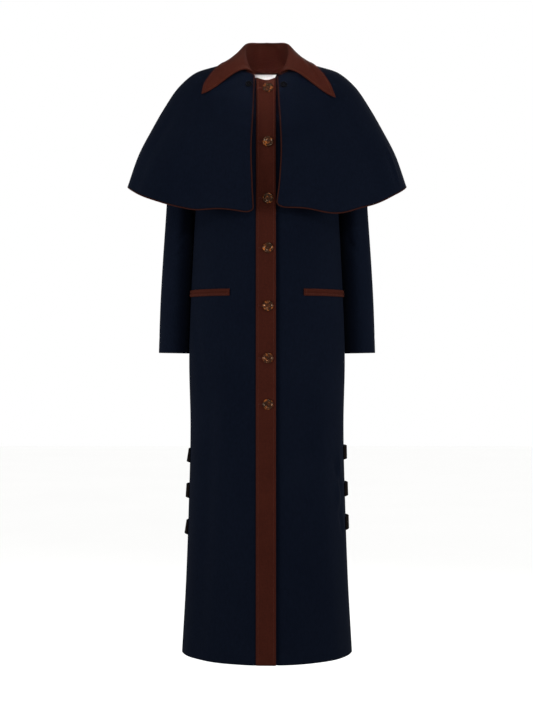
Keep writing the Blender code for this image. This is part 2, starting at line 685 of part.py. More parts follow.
def make_welts():
    """Welts made from the front panels' own columns, moved out."""
    row = lower_row(WELT_Z)
    half = lower_row(WELT_Z + WELT_HEIGHT / 2) - row
    rows = np.linspace(row - half, row + half, WELT_ROWS + 1)
    shared = np.arange(1, FRONT_COLUMNS) / FRONT_COLUMNS
    for name, angle_of, reach in (
        ("pocket_welt_right", front_right_angle, WELT_REACH_RIGHT),
        ("pocket_welt_left", front_left_angle, WELT_REACH_LEFT),
    ):
        columns = np.concatenate([[WELT_START], shared[shared < reach - WELT_LAST_STEP], [reach]])
        if angle_of is front_left_angle:
            columns = 1 - columns
        panel(name, "brown_trim", angle_of, columns, rows, WELT_WALL, lift=WELT_LIFT + WELT_WALL)


def label_point(across, z):
    """Inside of the back at a distance from the label's middle, drawn in toward its lower edge."""
    x = LABEL_MIDDLE_X + across * (1 - LABEL_TAPER * (LABEL_TOP_Z - z) / LABEL_HEIGHT)
    return body_point(np.pi - np.arcsin(x / read_table(BODY_RINGS, "z", "half_width", z)), z)


def make_label():
    across = np.linspace(-LABEL_HALF_WIDTH, LABEL_HALF_WIDTH, LABEL_COLUMNS + 1)
    heights = np.linspace(LABEL_TOP_Z - LABEL_HEIGHT, LABEL_TOP_Z, LABEL_ROWS + 1)
    behind = -CLOTH - LABEL_GAP
    cloth("label", "white_label", label_point, across, heights, LABEL_WALL, lift=behind, flip=True)


def tab_ends(side, row):
    """Body angles of a tab's two ends, which lie on a column of the front panel and one of the back."""
    front_step = TAB_FRONT_COLUMN / FRONT_COLUMNS
    back_step = TAB_BACK_COLUMN / BACK_COLUMNS
    if side > 0:
        return front_left_angle(1 - front_step, row), back_angle(back_step, row)
    return front_right_angle(front_step, row), back_angle(1 - back_step, row) - 2 * np.pi


def make_tabs():
    """Tabs over the side slits: both ends lie on the coat and the middle bows out."""
    share, height = np.meshgrid(np.linspace(0, 1, TAB_COLUMNS + 1), np.linspace(-0.5, 0.5, TAB_STEPS + 1))
    bowed = (4 * share * (1 - share)) ** TAB_BOW_POWER
    for number, row in enumerate(TAB_ROWS, 1):
        sides = (
            ("right", -1, row.right_z, row.right_bow, row.right_flare),
            ("left", 1, row.left_z, row.left_bow, 0.0),
        )
        for name, side, z, bow, flare in sides:
            level = z + TAB_HEIGHT * height
            front, back = tab_ends(side, lower_row(level))
            angle = front + (back - front) * share
            normal = normals(body_point, angle, level)
            raised = bow * bowed * (1 - 2 * flare * height)
            under = body_point(angle, level) + normal * (TAB_GAP + raised)[..., None]
            add_wall(f"side_tab_{name}_{number}", "tab_cloth", under + normal * TAB_WALL, under)


def add_button(name, finish, radius, seat, out):
    """A turned button: flat back, raised rim and a dished face, square on to its seat."""
    builder = bmesh.new()
    loops = []
    turns = np.arange(BUTTON_SIDES) * 2 * np.pi / BUTTON_SIDES
    for ring in BUTTON_PROFILE:
        reach = radius * ring.radius
        corners = [(reach * np.cos(a), reach * np.sin(a), radius * ring.height) for a in turns]
        loops.append([builder.verts.new(corner) for corner in corners])
    for lower, upper in zip(loops, loops[1:]):
        for j in range(BUTTON_SIDES):
            k = (j + 1) % BUTTON_SIDES
            builder.faces.new((lower[j], lower[k], upper[k], upper[j]))
    builder.faces.new(loops[0])
    builder.faces.new(loops[-1])
    turn = Vector((0, 0, 1)).rotation_difference(Vector(out)).to_matrix().to_4x4()
    bmesh.ops.transform(builder, matrix=Matrix.Translation(Vector(seat)) @ turn, verts=builder.verts)
    add_object(name, finish, builder)


def band_front(x, z):
    """The band's face, straight between its rows, as the y of places across and up the front."""
    rows = body_rows()
    angle = centre_angle(np.full(rows.shape, x), rows)
    heights = row_height(angle, rows)
    face = body_point(angle, heights) + normals(body_point, angle, heights) * BAND_RISE
    return np.interp(z, face[:, 2], face[:, 1])


def seat_button(z):
    """Where a button's back lies just clear of the band, and the way it faces."""
    angle = np.array(np.arcsin(BUTTON_X / read_table(BODY_RINGS, "z", "half_width", z)))
    out = normals(body_point, angle, np.array(z))
    turns = np.arange(BUTTON_SIDES) * 2 * np.pi / BUTTON_SIDES
    centre = body_point(angle, z)
    tilt = Vector((0, 0, 1)).rotation_difference(Vector(out))
    rim = [tilt @ Vector((np.cos(a), np.sin(a), 0)) * BUTTON_RADIUS for a in turns]
    clear = [(band_front(centre[0] + r.x, centre[2] + r.z) - centre[1] - r.y) / -out[1] for r in rim]
    return centre + out * (BUTTON_GAP - min(clear)), out


def make_buttons():
    for number, z in enumerate(BUTTON_HEIGHTS, 1):
        seat, out = seat_button(z)
        add_button(f"button_{number}", "tortoiseshell", BUTTON_RADIUS, seat, out)
    for name, point, flip in (
        ("cape_button_right", cape_right_point, False),
        ("cape_button_left", cape_left_point, True),
    ):
        u = np.array(CAPE_BUTTON_ACROSS)
        v = np.array(CAPE_BUTTON_ALONG)
        out = normals(point, u, v) * (-1 if flip else 1)
        add_button(name, "black_button", CAPE_BUTTON_RADIUS, point(u, v) + out * SEAM_GAP, out)


def main():
    for old in list(bpy.data.objects):
        bpy.data.objects.remove(old)
    make_body()
    make_sleeves()
    make_collar()
    make_cape()
    make_bindings()
    make_welts()
    make_label()
    make_tabs()
    make_buttons()


main()
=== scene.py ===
import bmesh
import bpy
import numpy as np
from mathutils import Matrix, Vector


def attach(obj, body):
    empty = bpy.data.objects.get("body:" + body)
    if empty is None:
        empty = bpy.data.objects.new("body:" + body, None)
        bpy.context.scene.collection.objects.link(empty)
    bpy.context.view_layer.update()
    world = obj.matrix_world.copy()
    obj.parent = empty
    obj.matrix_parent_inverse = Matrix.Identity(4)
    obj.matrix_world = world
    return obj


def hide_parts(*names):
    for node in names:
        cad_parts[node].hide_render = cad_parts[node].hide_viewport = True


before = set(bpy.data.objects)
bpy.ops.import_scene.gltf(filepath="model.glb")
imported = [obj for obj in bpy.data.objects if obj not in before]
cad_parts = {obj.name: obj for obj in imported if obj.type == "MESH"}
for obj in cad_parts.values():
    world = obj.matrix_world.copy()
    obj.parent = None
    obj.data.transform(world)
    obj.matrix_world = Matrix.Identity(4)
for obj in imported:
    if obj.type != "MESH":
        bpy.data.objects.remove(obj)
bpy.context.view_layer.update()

# Small helpers


def readTable(table, key, value, at):  # one column at the given keys, on a curve that never overshoots
    keys = np.array(table[key], float)
    values = np.array(table[value], float)
    step = np.diff(keys)
    rise = np.diff(values) / step
    slope = np.concatenate([rise[:1], np.zeros(len(rise) - 1), rise[-1:]])
    before = 2 * step[1:] + step[:-1]
    after = step[1:] + 2 * step[:-1]
    steady = rise[:-1] * rise[1:] > 0
    first = np.where(steady, rise[:-1], 1)
    second = np.where(steady, rise[1:], 1)
    slope[1:-1] = np.where(steady, (before + after) / (before / first + after / second), 0)
    at = np.asarray(at, float)
    i = np.clip(np.searchsorted(keys, at) - 1, 0, len(step) - 1)
    t = (at - keys[i]) / step[i]
    start = values[i] * (1 + 2 * t) * (1 - t) ** 2 + slope[i] * step[i] * t * (1 - t) ** 2
    return start + values[i + 1] * t**2 * (3 - 2 * t) - slope[i + 1] * step[i] * t**2 * (1 - t)


def ease(t):
    t = np.clip(t, 0, 1)
    return t * t * (3 - 2 * t)


def findRoot(function, low, high):  # where a rising function crosses zero, by halving
    for _ in range(26):
        middle = (low + high) / 2
        below = function(middle) < 0
        low = np.where(below, middle, low)
        high = np.where(below, high, middle)
    return (low + high) / 2


def stackPoints(x, y, z):
    return np.stack(np.broadcast_arrays(x, y, z), axis=-1).astype(float)


def unit(vectors):
    return vectors / np.maximum(np.linalg.norm(vectors, axis=-1, keepdims=True), 1e-12)


def surfaceNormals(point, u, v, step=1e-4):
    return unit(np.cross(point(u + step, v) - point(u - step, v), point(u, v + step) - point(u, v - step)))


creaseEnds = {"over": 0.12, "fade": 0.42}  # shares of a crease's length: how far past its ends, and the fade


def crease(start, stop, width, depth, bow=0.0, end=creaseEnds["fade"]):
    return start, stop, width, depth, bow, end


def creaseLift(creases, across, up):  # soft troughs (depth below 0) and ridges, each along its own bowed line
    lift = np.zeros(np.broadcast(across, up).shape)
    for (a0, b0), (a1, b1), width, depth, bow, end in creases:
        length = np.hypot(a1 - a0, b1 - b0)
        t = ((across - a0) * (a1 - a0) + (up - b0) * (b1 - b0)) / length**2
        off = ((across - a0) * (b1 - b0) - (up - b0) * (a1 - a0)) / length
        off = off + bow * np.sin(np.pi * np.clip(t, 0, 1))
        fade = ease((t + creaseEnds["over"]) / creaseEnds["fade"]) * ease((1 + creaseEnds["over"] - t) / end)
        lift += depth * np.exp(-((off / width) ** 2)) * fade
    return lift


# Meshes


def gridFaces(rows, columns, ring):  # quads of a grid, with the unwrapped place of each corner
    last = columns if ring else columns - 1
    i, j = np.meshgrid(np.arange(rows - 1), np.arange(last), indexing="ij")
    ci = np.stack([i, i, i + 1, i + 1], -1).reshape(-1, 4)
    cj = np.stack([j, j + 1, j + 1, j], -1).reshape(-1, 4)
    return ci, cj


def rimLoops(rows, columns, ring):  # places round the open edges, in the order in which the outer faces pass them
    if ring:
        return [[(0, j) for j in range(columns + 1)], [(rows - 1, j) for j in range(columns, -1, -1)]]
    loop = [(0, j) for j in range(columns)] + [(i, columns - 1) for i in range(1, rows)]
    loop += [(rows - 1, j) for j in range(columns - 2, -1, -1)] + [(i, 0) for i in range(rows - 2, -1, -1)]
    return [loop]


def addPiece(name, points, faces, material, uvs=None):
    mesh = bpy.data.meshes.new(name)
    mesh.from_pydata(np.asarray(points).tolist(), [], [list(map(int, f)) for f in faces])
    if uvs is not None:
        mesh.uv_layers.new(name="cut").data.foreach_set("uv", np.asarray(uvs, np.float32).ravel())
    mesh.shade_smooth()
    mesh.materials.append(material)
    piece = bpy.data.objects.new(name, mesh)
    bpy.context.scene.collection.objects.link(piece)
    return piece


def clothWall(name, outer, inner, material, size, ring=False, roundEdge=0.4):
    # a thin closed wall between two grids, its cut edges turned and rounded; size is the cut's width and length
    rows, columns = outer.shape[:2]
    count = rows * columns
    ci, cj = gridFaces(rows, columns, ring)
    quads = ci * columns + cj % columns
    last = columns if ring else columns - 1
    uv = np.stack([cj / last * size[0], ci / (rows - 1) * size[1]], -1)
    flatOuter = outer.reshape(-1, 3)
    flatInner = inner.reshape(-1, 3)
    corner = flatOuter[quads]
    facing = np.cross(corner[:, 1] - corner[:, 0], corner[:, 3] - corner[:, 0])
    turned = np.sum(facing * (flatOuter - flatInner)[quads[:, 0]]) < 0
    middle = (outer + inner) / 2
    out = np.zeros_like(middle)
    out[0] += unit(middle[0] - middle[1])
    out[-1] += unit(middle[-1] - middle[-2])
    if not ring:
        out[:, 0] += unit(middle[:, 0] - middle[:, 1])
        out[:, -1] += unit(middle[:, -1] - middle[:, -2])
    wall = np.linalg.norm(outer - inner, axis=-1, keepdims=True)
    rim = middle + unit(out) * wall * roundEdge
    points = [flatOuter, flatInner]
    rimFaces = []
    rimUv = []
    start = 2 * count
    for loop in rimLoops(rows, columns, ring):
        closed = loop[:-1]
        points.append(np.array([rim[i, j % columns] for i, j in closed]))
        for k in range(len(closed)):
            (i0, j0), (i1, j1) = loop[k], loop[k + 1]
            a = i0 * columns + j0 % columns
            b = i1 * columns + j1 % columns
            m = start + k
            n = start + (k + 1) % len(closed)
            placeA = (j0 / last * size[0], i0 / (rows - 1) * size[1])
            placeB = (j1 / last * size[0], i1 / (rows - 1) * size[1])
            rimFaces += [(b, a, m, n), (n, m, a + count, b + count)]
            rimUv += [(placeB, placeA, placeA, placeB)] * 2
        start += len(closed)
    faces = np.concatenate([quads, quads[:, ::-1] + count, np.array(rimFaces)])
    uvs = np.concatenate([uv, uv[:, ::-1], np.array(rimUv)])
    if turned:
        faces = faces[:, ::-1]
        uvs = uvs[:, ::-1]
    return addPiece(name, np.concatenate(points), faces, material, uvs)


def tubeMesh(paths, radius, sides):  # round tubes along polylines, with closed ends
    points = []
    faces = []
    spokes = np.linspace(0, 2 * np.pi, sides, endpoint=False)
    for path in paths:
        path = np.asarray(path, float)
        run = unit(np.gradient(path, axis=0))
        side = unit(np.cross(run, np.array([0.31, 0.17, 0.93])))  # no path runs along this slant
        up = np.cross(run, side)
        start = len(points)
        for p, s, u in zip(path, side, up):
            points += [p + radius * (np.cos(a) * s + np.sin(a) * u) for a in spokes]
        for k in range(len(path) - 1):
            for j in range(sides):
                a = start + k * sides + j
                b = start + k * sides + (j + 1) % sides
                faces.append((a, b, b + sides, a + sides))
        faces.append(tuple(start + j for j in reversed(range(sides))))
        faces.append(tuple(start + (len(path) - 1) * sides + j for j in range(sides)))
    return points, faces


def addNode(tree, kind, settings=None, inputs=None):  # one node, its settings, and values or links for its sockets
    node = tree.nodes.new(kind)
    for key, value in (settings or {}).items():
        setattr(node, key, value)
    for key, value in (inputs or {}).items():
        if isinstance(value, bpy.types.NodeSocket):
            tree.links.new(value, node.inputs[key])
        else:
            node.inputs[key].default_value = value
    return node


def linear(hexColour):  # sRGB hex to linear
    parts = [int(hexColour[i:i + 2], 16) / 255 for i in (1, 3, 5)]
    return tuple(p / 12.92 if p <= 0.04045 else ((p + 0.055) / 1.055) ** 2.4 for p in parts) + (1.0,)


def newMaterial(name, settings):
    material = bpy.data.materials.new(name)
    material.use_nodes = True
    shader = material.node_tree.nodes["Principled BSDF"]
    for key, value in settings.items():
        shader.inputs[key].default_value = value
    return material, material.node_tree, shader


# Finishes


def clothFinish(name, look):
    # napped woven cloth: a faint twill, short fibre lying over it, and slow drifts of tone
    material, tree, shader = newMaterial(name, {
        "Roughness": look["roughness"],
        "Specular IOR Level": look["specular"],
        "Sheen Weight": look["sheen"],
        "Sheen Roughness": look["sheenRoughness"],
        "Sheen Tint": linear(look["sheenTint"]),
    })
    place = addNode(tree, "ShaderNodeTexCoord")
    drift = addNode(tree, "ShaderNodeTexNoise", inputs={
        "Vector": place.outputs["Object"], "Scale": 1 / look["driftSize"], "Detail": 3.0})
    fibreMap = addNode(tree, "ShaderNodeMapping", inputs={
        "Vector": place.outputs["Object"], "Scale": (1.0, 1.0, look["fibreStretch"])})
    fibre = addNode(tree, "ShaderNodeTexNoise", inputs={
        "Vector": fibreMap.outputs[0], "Scale": 1 / look["fibreSize"], "Detail": 4.0, "Roughness": 0.6})
    twillMap = addNode(tree, "ShaderNodeMapping", inputs={
        "Vector": place.outputs["UV"], "Rotation": (0, 0, look["twillTurn"])})
    # a wave texture's bands are 0.314 / scale metres apart
    twill = addNode(tree, "ShaderNodeTexWave", {"bands_direction": "X"}, {
        "Vector": twillMap.outputs[0], "Scale": 0.314 / look["twillSize"], "Distortion": 0.6, "Detail": 1.0})
    tone = addNode(tree, "ShaderNodeMix", {"data_type": "RGBA"}, {
        "Factor": drift.outputs["Fac"], 6: linear(look["dark"]), 7: linear(look["light"])})
    speck = addNode(tree, "ShaderNodeMapRange", inputs={
        "Value": fibre.outputs["Fac"], "From Min": 0.3, "From Max": 0.7,
        "To Min": 1 - look["fibreContrast"], "To Max": 1 + look["fibreContrast"]})
    ribs = addNode(tree, "ShaderNodeMapRange", inputs={
        "Value": twill.outputs["Fac"], "To Min": 1 - look["twillContrast"], "To Max": 1.0})
    shade = addNode(tree, "ShaderNodeMath", {"operation": "MULTIPLY"}, {
        0: speck.outputs["Result"], 1: ribs.outputs["Result"]})
    colour = addNode(tree, "ShaderNodeVectorMath", {"operation": "SCALE"}, {
        0: tone.outputs[2], "Scale": shade.outputs[0]})
    tree.links.new(colour.outputs[0], shader.inputs["Base Color"])
    relief = addNode(tree, "ShaderNodeMath", {"operation": "MULTIPLY_ADD"}, {
        0: twill.outputs["Fac"], 1: look["twillRelief"], 2: fibre.outputs["Fac"]})
    bump = addNode(tree, "ShaderNodeBump", inputs={
        "Height": relief.outputs[0], "Strength": look["bump"], "Distance": look["bumpDepth"]})
    tree.links.new(bump.outputs[0], shader.inputs["Normal"])
    return material


# melton: milled wool, so dead matt, with a faint pale bloom where the nap is seen edge on
meltonLook = {
    "dark": "#050811", "light": "#080c15", "roughness": 0.95, "specular": 0.01,
    "sheen": 0.010, "sheenRoughness": 0.45, "sheenTint": "#9aa4c0",
    "driftSize": 0.16,
    "fibreSize": 0.0035,  # real nap is about 0.3 mm, drawn coarser so that it shows
    "fibreStretch": 0.45, "fibreContrast": 0.16,
    "twillSize": 0.0024,  # real twill is about 0.8 mm, drawn coarser
    "twillTurn": 0.9, "twillContrast": 0.06, "twillRelief": 0.35, "bump": 0.35, "bumpDepth": 0.0006,
}
# cotton velveteen: short dense pile, warm and soft, a little lighter at grazing angles
velveteenLook = {
    "dark": "#2a0f09", "light": "#35150e", "roughness": 0.9, "specular": 0.03,
    "sheen": 0.02, "sheenRoughness": 0.4, "sheenTint": "#c98a70",
    "driftSize": 0.07, "fibreSize": 0.0028, "fibreStretch": 0.6, "fibreContrast": 0.14,
    "twillSize": 0.0026, "twillTurn": 1.5708, "twillContrast": 0.08, "twillRelief": 0.5, "bump": 0.35,
    "bumpDepth": 0.0005,
}
# the same pile on the stand, where its weft ribs run round the neck
standLook = dict(
    velveteenLook, dark="#250d08", light="#2f120c", twillContrast=0.2, twillRelief=1.4, twillSize=0.0036)
# dark brown cotton of the tabs, painted almost black: painted shade, as they stand edge-on in shadow at the side slits
shadedTabLook = dict(velveteenLook, dark="#050302", light="#090403", sheen=0.0, specular=0.01, sheenTint="#8a6a5c")
# woven taffeta label: bare, white, faintly ribbed
labelLook = {
    "dark": "#f4eff2", "light": "#fbf8fa", "roughness": 0.7, "specular": 0.3,
    "sheen": 0.02, "sheenRoughness": 0.5, "sheenTint": "#ffffff",
    "driftSize": 0.03, "fibreSize": 0.0012, "fibreStretch": 1.0, "fibreContrast": 0.02,
    "twillSize": 0.0012, "twillTurn": 1.5708, "twillContrast": 0.03, "twillRelief": 1.0, "bump": 0.2,
    "bumpDepth": 0.0002,
}


def shellFinish(name, look):
    # cast plastic: clouds of tone in it, and a polish that gives small highlights
    material, tree, shader = newMaterial(name, {
        "IOR": 1.49, "Specular IOR Level": look["specular"], "Specular Tint": linear(look["tint"])})
    place = addNode(tree, "ShaderNodeTexCoord")
    warp = addNode(tree, "ShaderNodeTexNoise", inputs={
        "Vector": place.outputs["Object"], "Scale": 1 / look["cloudSize"], "Detail": 2.0, "Distortion": 1.2})
    clouds = addNode(tree, "ShaderNodeValToRGB", inputs={"Fac": warp.outputs["Fac"]})
    ramp = clouds.color_ramp
    ramp.elements[0].position = 0.38
    ramp.elements[0].color = linear(look["dark"])
    ramp.elements[1].position = 0.70
    ramp.elements[1].color = linear(look["pale"])
    ramp.elements.new(0.54).color = linear(look["amber"])
    tree.links.new(clouds.outputs["Color"], shader.inputs["Base Color"])
    haze = addNode(tree, "ShaderNodeMapRange", inputs={
        "Value": warp.outputs["Fac"], "To Min": look["roughness"] * 0.7, "To Max": look["roughness"] * 1.4})
    tree.links.new(haze.outputs["Result"], shader.inputs["Roughness"])
    return material


def threadFinish(name, tone):
    # spun polyester thread: two plies twisted, a slight lustre
    material, tree, shader = newMaterial(name, {
        "Roughness": 0.6, "Sheen Weight": 0.02, "Specular IOR Level": 0.1})
    place = addNode(tree, "ShaderNodeTexCoord")
    ply = addNode(tree, "ShaderNodeTexNoise", inputs={"Vector": place.outputs["Object"], "Scale": 1 / tone["plySize"]})
    shade = addNode(tree, "ShaderNodeMix", {"data_type": "RGBA"}, {
        "Factor": ply.outputs["Fac"], 6: linear(tone["dark"]), 7: linear(tone["light"])})
    tree.links.new(shade.outputs[2], shader.inputs["Base Color"])
    return material


melton = clothFinish("navyMelton", meltonLook)
velveteen = clothFinish("brownVelveteen", velveteenLook)
ribbedVelveteen = clothFinish("ribbedBrownVelveteen", standLook)
# the same velveteen a shade darker on the band and welts: painted shade, as they catch less light than the up-turned
# collar
shadedVelveteen = clothFinish("paintedShadeVelveteen", dict(velveteenLook, dark="#250c07", light="#2f120b"))
# darker still on the bindings: painted shade for the thin rolled edges, turned away and shaded
shadedBindingVelveteen = clothFinish("paintedShadeBindingVelveteen", dict(velveteenLook, dark="#1d0a06", light="#260f0a"))
shadedTabCloth = clothFinish("paintedShadeTabCotton", shadedTabLook)
labelTaffeta = clothFinish("whiteTaffeta", labelLook)
# cellulose acetate, tumbled: dark brown with amber clouds and warm glints
acetate = shellFinish("amberAcetate", {
    "dark": "#120501", "amber": "#2a1005", "pale": "#7a4216", "cloudSize": 0.008, "roughness": 0.13,
    "specular": 0.2, "tint": "#ffdcb8"})
# polyester, moulded: almost black, with a dull shine
blackPolyester = shellFinish("blackPolyester", {
    "dark": "#020203", "amber": "#040405", "pale": "#08080a", "cloudSize": 0.012, "roughness": 0.35,
    "specular": 0.015, "tint": "#ffffff"})
brownThread = threadFinish("brownThread", {"dark": "#2c0f09", "light": "#45201a", "plySize": 0.0006})
navyThread = threadFinish("navyThread", {"dark": "#080b12", "light": "#10141e", "plySize": 0.0006})
print("finishes made")

# Coat body

coatBody = {
    "z": [-1.376, -1.200, -1.050, -0.850, -0.700, -0.550, -0.420, -0.340, -0.262, -0.160, -0.100, -0.056,
          -0.046, -0.034, -0.020, -0.008, 0.002, 0.006],
    "halfWidth": [0.1993, 0.1894, 0.1840, 0.1795, 0.1825, 0.1780, 0.1715, 0.1680, 0.1660, 0.1650, 0.1690, 0.1760,
                  0.1780, 0.1600, 0.1310, 0.0980, 0.0705, 0.0600],
    "frontDepth": [0.170, 0.162, 0.156, 0.150, 0.147, 0.138, 0.1325, 0.1305, 0.131, 0.119, 0.100, 0.082,
                   0.073, 0.060, 0.043, 0.029, 0.015, 0.006],
    "backDepth": [0.165, 0.156, 0.149, 0.140, 0.136, 0.126, 0.116, 0.113, 0.113, 0.110, 0.100, 0.088,
                  0.085, 0.080, 0.073, 0.064, 0.050, 0.044],
    "hem": -1.376, "armpit": -0.262, "shoulder": -0.046, "top": 0.006,
    "yokeFront": -0.105, "yokeBack": -0.060,
    "neckHalfWidth": 0.060, "neckFront": 0.082, "neckBack": 0.066, "neckLowest": -0.090,
    "armholeFront": 0.49, "armholeBack": 0.45,
    "slitTop": -0.885, "slitHalfGap": 0.0012, "sideSeamRadius": 0.115, "shoulderSeamRadius": 0.045,
    "seamGap": 0.0003, "wall": 0.0022, "arc": 0.165,
    "frontGrid": (64, 190), "backGrid": (110, 190), "rowShares": (0.60, 0.26, 0.14),
    "seamDip": 0.0009, "seamDipWidth": 0.005, "panelWidth": 0.25,
}
# across is metres round from centre front (the back's middle is 0.518), up is height
coatCreases = [
    crease((-0.085, -0.60), (-0.102, -1.22), 0.030, 0.0039),
    crease((-0.128, -0.70), (-0.152, -1.36), 0.026, -0.0048, end=0.2),
    crease((-0.054, -0.82), (-0.060, -1.36), 0.022, -0.0030, end=0.2),
    crease((-0.196, -0.60), (-0.150, -0.78), 0.013, -0.0025, bow=0.006),
    crease((-0.215, -0.48), (-0.130, -0.41), 0.014, -0.0024, bow=0.005),
    crease((-0.060, -0.42), (-0.110, -0.52), 0.016, -0.0018),
    crease((0.075, -0.56), (0.086, -1.18), 0.028, -0.0039),
    crease((0.118, -0.76), (0.142, -1.36), 0.030, 0.0045, end=0.2),
    crease((0.050, -0.97), (0.053, -1.36), 0.020, 0.0024, end=0.2),
    crease((0.162, -0.925), (0.203, -1.005), 0.010, -0.0045, bow=0.004),
    crease((0.196, -0.905), (0.180, -1.045), 0.010, 0.0033),
    crease((0.186, -1.03), (0.204, -1.10), 0.009, -0.0027),
    crease((0.212, -0.47), (0.140, -0.40), 0.013, -0.0023, bow=-0.005),
    crease((0.120, -0.30), (0.085, -0.47), 0.018, -0.0021),
    crease((0.400, -0.36), (0.378, -1.25), 0.034, -0.0060),
    crease((0.462, -0.62), (0.452, -1.36), 0.030, 0.0051, end=0.2),
    crease((0.530, -0.52), (0.548, -1.30), 0.028, -0.0051),
    crease((0.596, -0.78), (0.606, -1.36), 0.026, 0.0045, end=0.2),
    crease((0.640, -0.40), (0.664, -1.22), 0.034, -0.0057),
    crease((0.350, -0.22), (0.440, -0.36), 0.018, -0.0033, bow=0.008),
    crease((0.690, -0.21), (0.600, -0.37), 0.018, -0.0036, bow=-0.008),
    crease((0.318, -0.55), (0.372, -0.66), 0.013, -0.0024),
]


def bodyPoint(angle, z):  # outer face of the coat, angle round from centre front towards the wearer's left
    width = readTable(coatBody, "z", "halfWidth", z)
    front = readTable(coatBody, "z", "frontDepth", z)
    back = readTable(coatBody, "z", "backDepth", z)
    return stackPoints(width * np.sin(angle), -np.where(np.cos(angle) > 0, front, back) * np.cos(angle), z)


def neckHeight(angle):
    def inside(z):
        p = bodyPoint(angle, z)
        depth = np.where(p[..., 1] < 0, coatBody["neckFront"], coatBody["neckBack"])
        return 1 - (p[..., 0] / coatBody["neckHalfWidth"]) ** 2 - (p[..., 1] / depth) ** 2

    shape = np.shape(angle)
    return findRoot(inside, np.full(shape, coatBody["neckLowest"]), np.full(shape, coatBody["top"]))


def neckPoint(turn, scale=1.0):  # the neck's plan ellipse, dropped on the body
    x = coatBody["neckHalfWidth"] * scale * np.sin(turn)
    y = -np.where(np.cos(turn) > 0, coatBody["neckFront"], coatBody["neckBack"]) * scale * np.cos(turn)

    def inside(z):
        depth = np.where(y < 0, readTable(coatBody, "z", "frontDepth", z), readTable(coatBody, "z", "backDepth", z))
        return (x / readTable(coatBody, "z", "halfWidth", z)) ** 2 + (y / depth) ** 2 - 1

    shape = np.shape(turn)
    z = findRoot(inside, np.full(shape, coatBody["neckLowest"]), np.full(shape, coatBody["top"]))
    return stackPoints(x, y, z)


def rowHeight(angle, row):  # row 0 is the hem, 1 the armpit, 2 the yoke line, 3 the neckline
    yokeEnd = np.where(np.cos(angle) > 0, coatBody["yokeFront"], coatBody["yokeBack"])
    yoke = yokeEnd + (coatBody["shoulder"] - yokeEnd) * np.abs(np.sin(angle))
    lower = coatBody["hem"] + (coatBody["armpit"] - coatBody["hem"]) * row
    middle = coatBody["armpit"] + (yoke - coatBody["armpit"]) * (row - 1)
    upper = yoke + (neckHeight(angle) - yoke) * (row - 2)
    return np.where(row <= 1, lower, np.where(row <= 2, middle, upper))


def lowerRow(z):
    return (z - coatBody["hem"]) / (coatBody["armpit"] - coatBody["hem"])


def sideAngle(row, cut, sign):
    z = rowHeight(np.full(np.shape(row), np.pi / 2), row)
    width = readTable(coatBody, "z", "halfWidth", np.minimum(z, coatBody["shoulder"]))
    gap = np.where(z < coatBody["slitTop"], coatBody["slitHalfGap"], coatBody["seamGap"] / 2)
    radius = np.where(row > 2, coatBody["shoulderSeamRadius"], coatBody["sideSeamRadius"])
    oval = np.sqrt(np.clip(1 - (2 * row - 3) ** 2, 0, 1))
    return np.pi / 2 + sign * (cut * oval + gap / np.minimum(width, radius))


def centreAngle(x, row):
    angle = np.zeros(np.shape(row))
    for _ in range(4):
        angle = np.arcsin(x / readTable(coatBody, "z", "halfWidth", rowHeight(angle, row)))
    return angle


def frontAngle(u, row, edgeX, side):  # u from the side edge to the middle edge
    outer = sideAngle(row, coatBody["armholeFront"], -1)
    return side * (outer + (centreAngle(edgeX * side, row) - outer) * u)


def frontRightAngle(u, row):
    return frontAngle(u, row, buttonBand["seamX"] - coatBody["seamGap"] / 2, -1)


def frontLeftAngle(u, row):
    return frontAngle(1 - u, row, buttonBand["underlapX"], 1)


def bandAngle(u, row):
    left = centreAngle(buttonBand["seamX"] + coatBody["seamGap"] / 2, row)
    return left + (centreAngle(buttonBand["edgeX"], row) - left) * u


def backAngle(u, row):
    edge = sideAngle(row, coatBody["armholeBack"], 1)
    return edge + (2 * np.pi - 2 * edge) * u


def coatLift(angle, z):  # the coat's creases, the same for all that lies on it
    return creaseLift(coatCreases, angle * coatBody["arc"], z)


def panelRows(count):  # rows from hem to armpit, up the armhole and over the yoke
    below, beside, above = (int(count * share) for share in coatBody["rowShares"])
    armhole = 1.5 - 0.5 * np.cos(np.linspace(0, np.pi, beside))
    return np.concatenate([np.linspace(0, 1, below), armhole[1:], np.linspace(2, 3, above)[1:]])


def panelGrid(angleOf, columns, rows, lift, wall):
    u, row = np.meshgrid(np.asarray(columns, float), np.asarray(rows, float))
    angle = angleOf(u, row)
    z = rowHeight(angle, row)
    face = bodyPoint(angle, z)
    out = surfaceNormals(bodyPoint, angle, z)
    raised = lift(u, row, face) + coatLift(np.mod(angle + np.pi / 2, 2 * np.pi) - np.pi / 2, z)
    return face + out * raised[..., None], face + out * (raised - wall)[..., None]


def seamDip(u, row, face):  # cloth sinks a little where it is stitched down along an edge
    fromEdge = np.minimum(u, 1 - u) * coatBody["panelWidth"]
    return -coatBody["seamDip"] * np.exp(-fromEdge / coatBody["seamDipWidth"])


buttonBand = {
    "seamX": -0.0245, "edgeX": 0.0190, "rise": 0.0012, "wall": 0.0020, "plump": 0.0005, "grid": (14, 190),
    "underlapX": -0.0100, "underlapSink": 0.0016, "underlapRamp": 0.030, "cut": (0.060, 1.34),
    "groove": 0.0046, "grooveWidth": 0.0042, "grooveX": 0.0205, "edgeCurl": 0.0020, "curlFrom": 0.6,
}


def underlapDip(u, row, face):  # the left front lies lower under the band, and lowest beside its free edge
    x = face[..., 0]
    sink = 1 - ease((x - buttonBand["edgeX"]) / buttonBand["underlapRamp"])
    groove = buttonBand["groove"] * np.exp(-(((x - buttonBand["grooveX"]) / buttonBand["grooveWidth"]) ** 2))
    return seamDip(1 - u, row, face) * (u > 0.5) - buttonBand["underlapSink"] * sink - groove


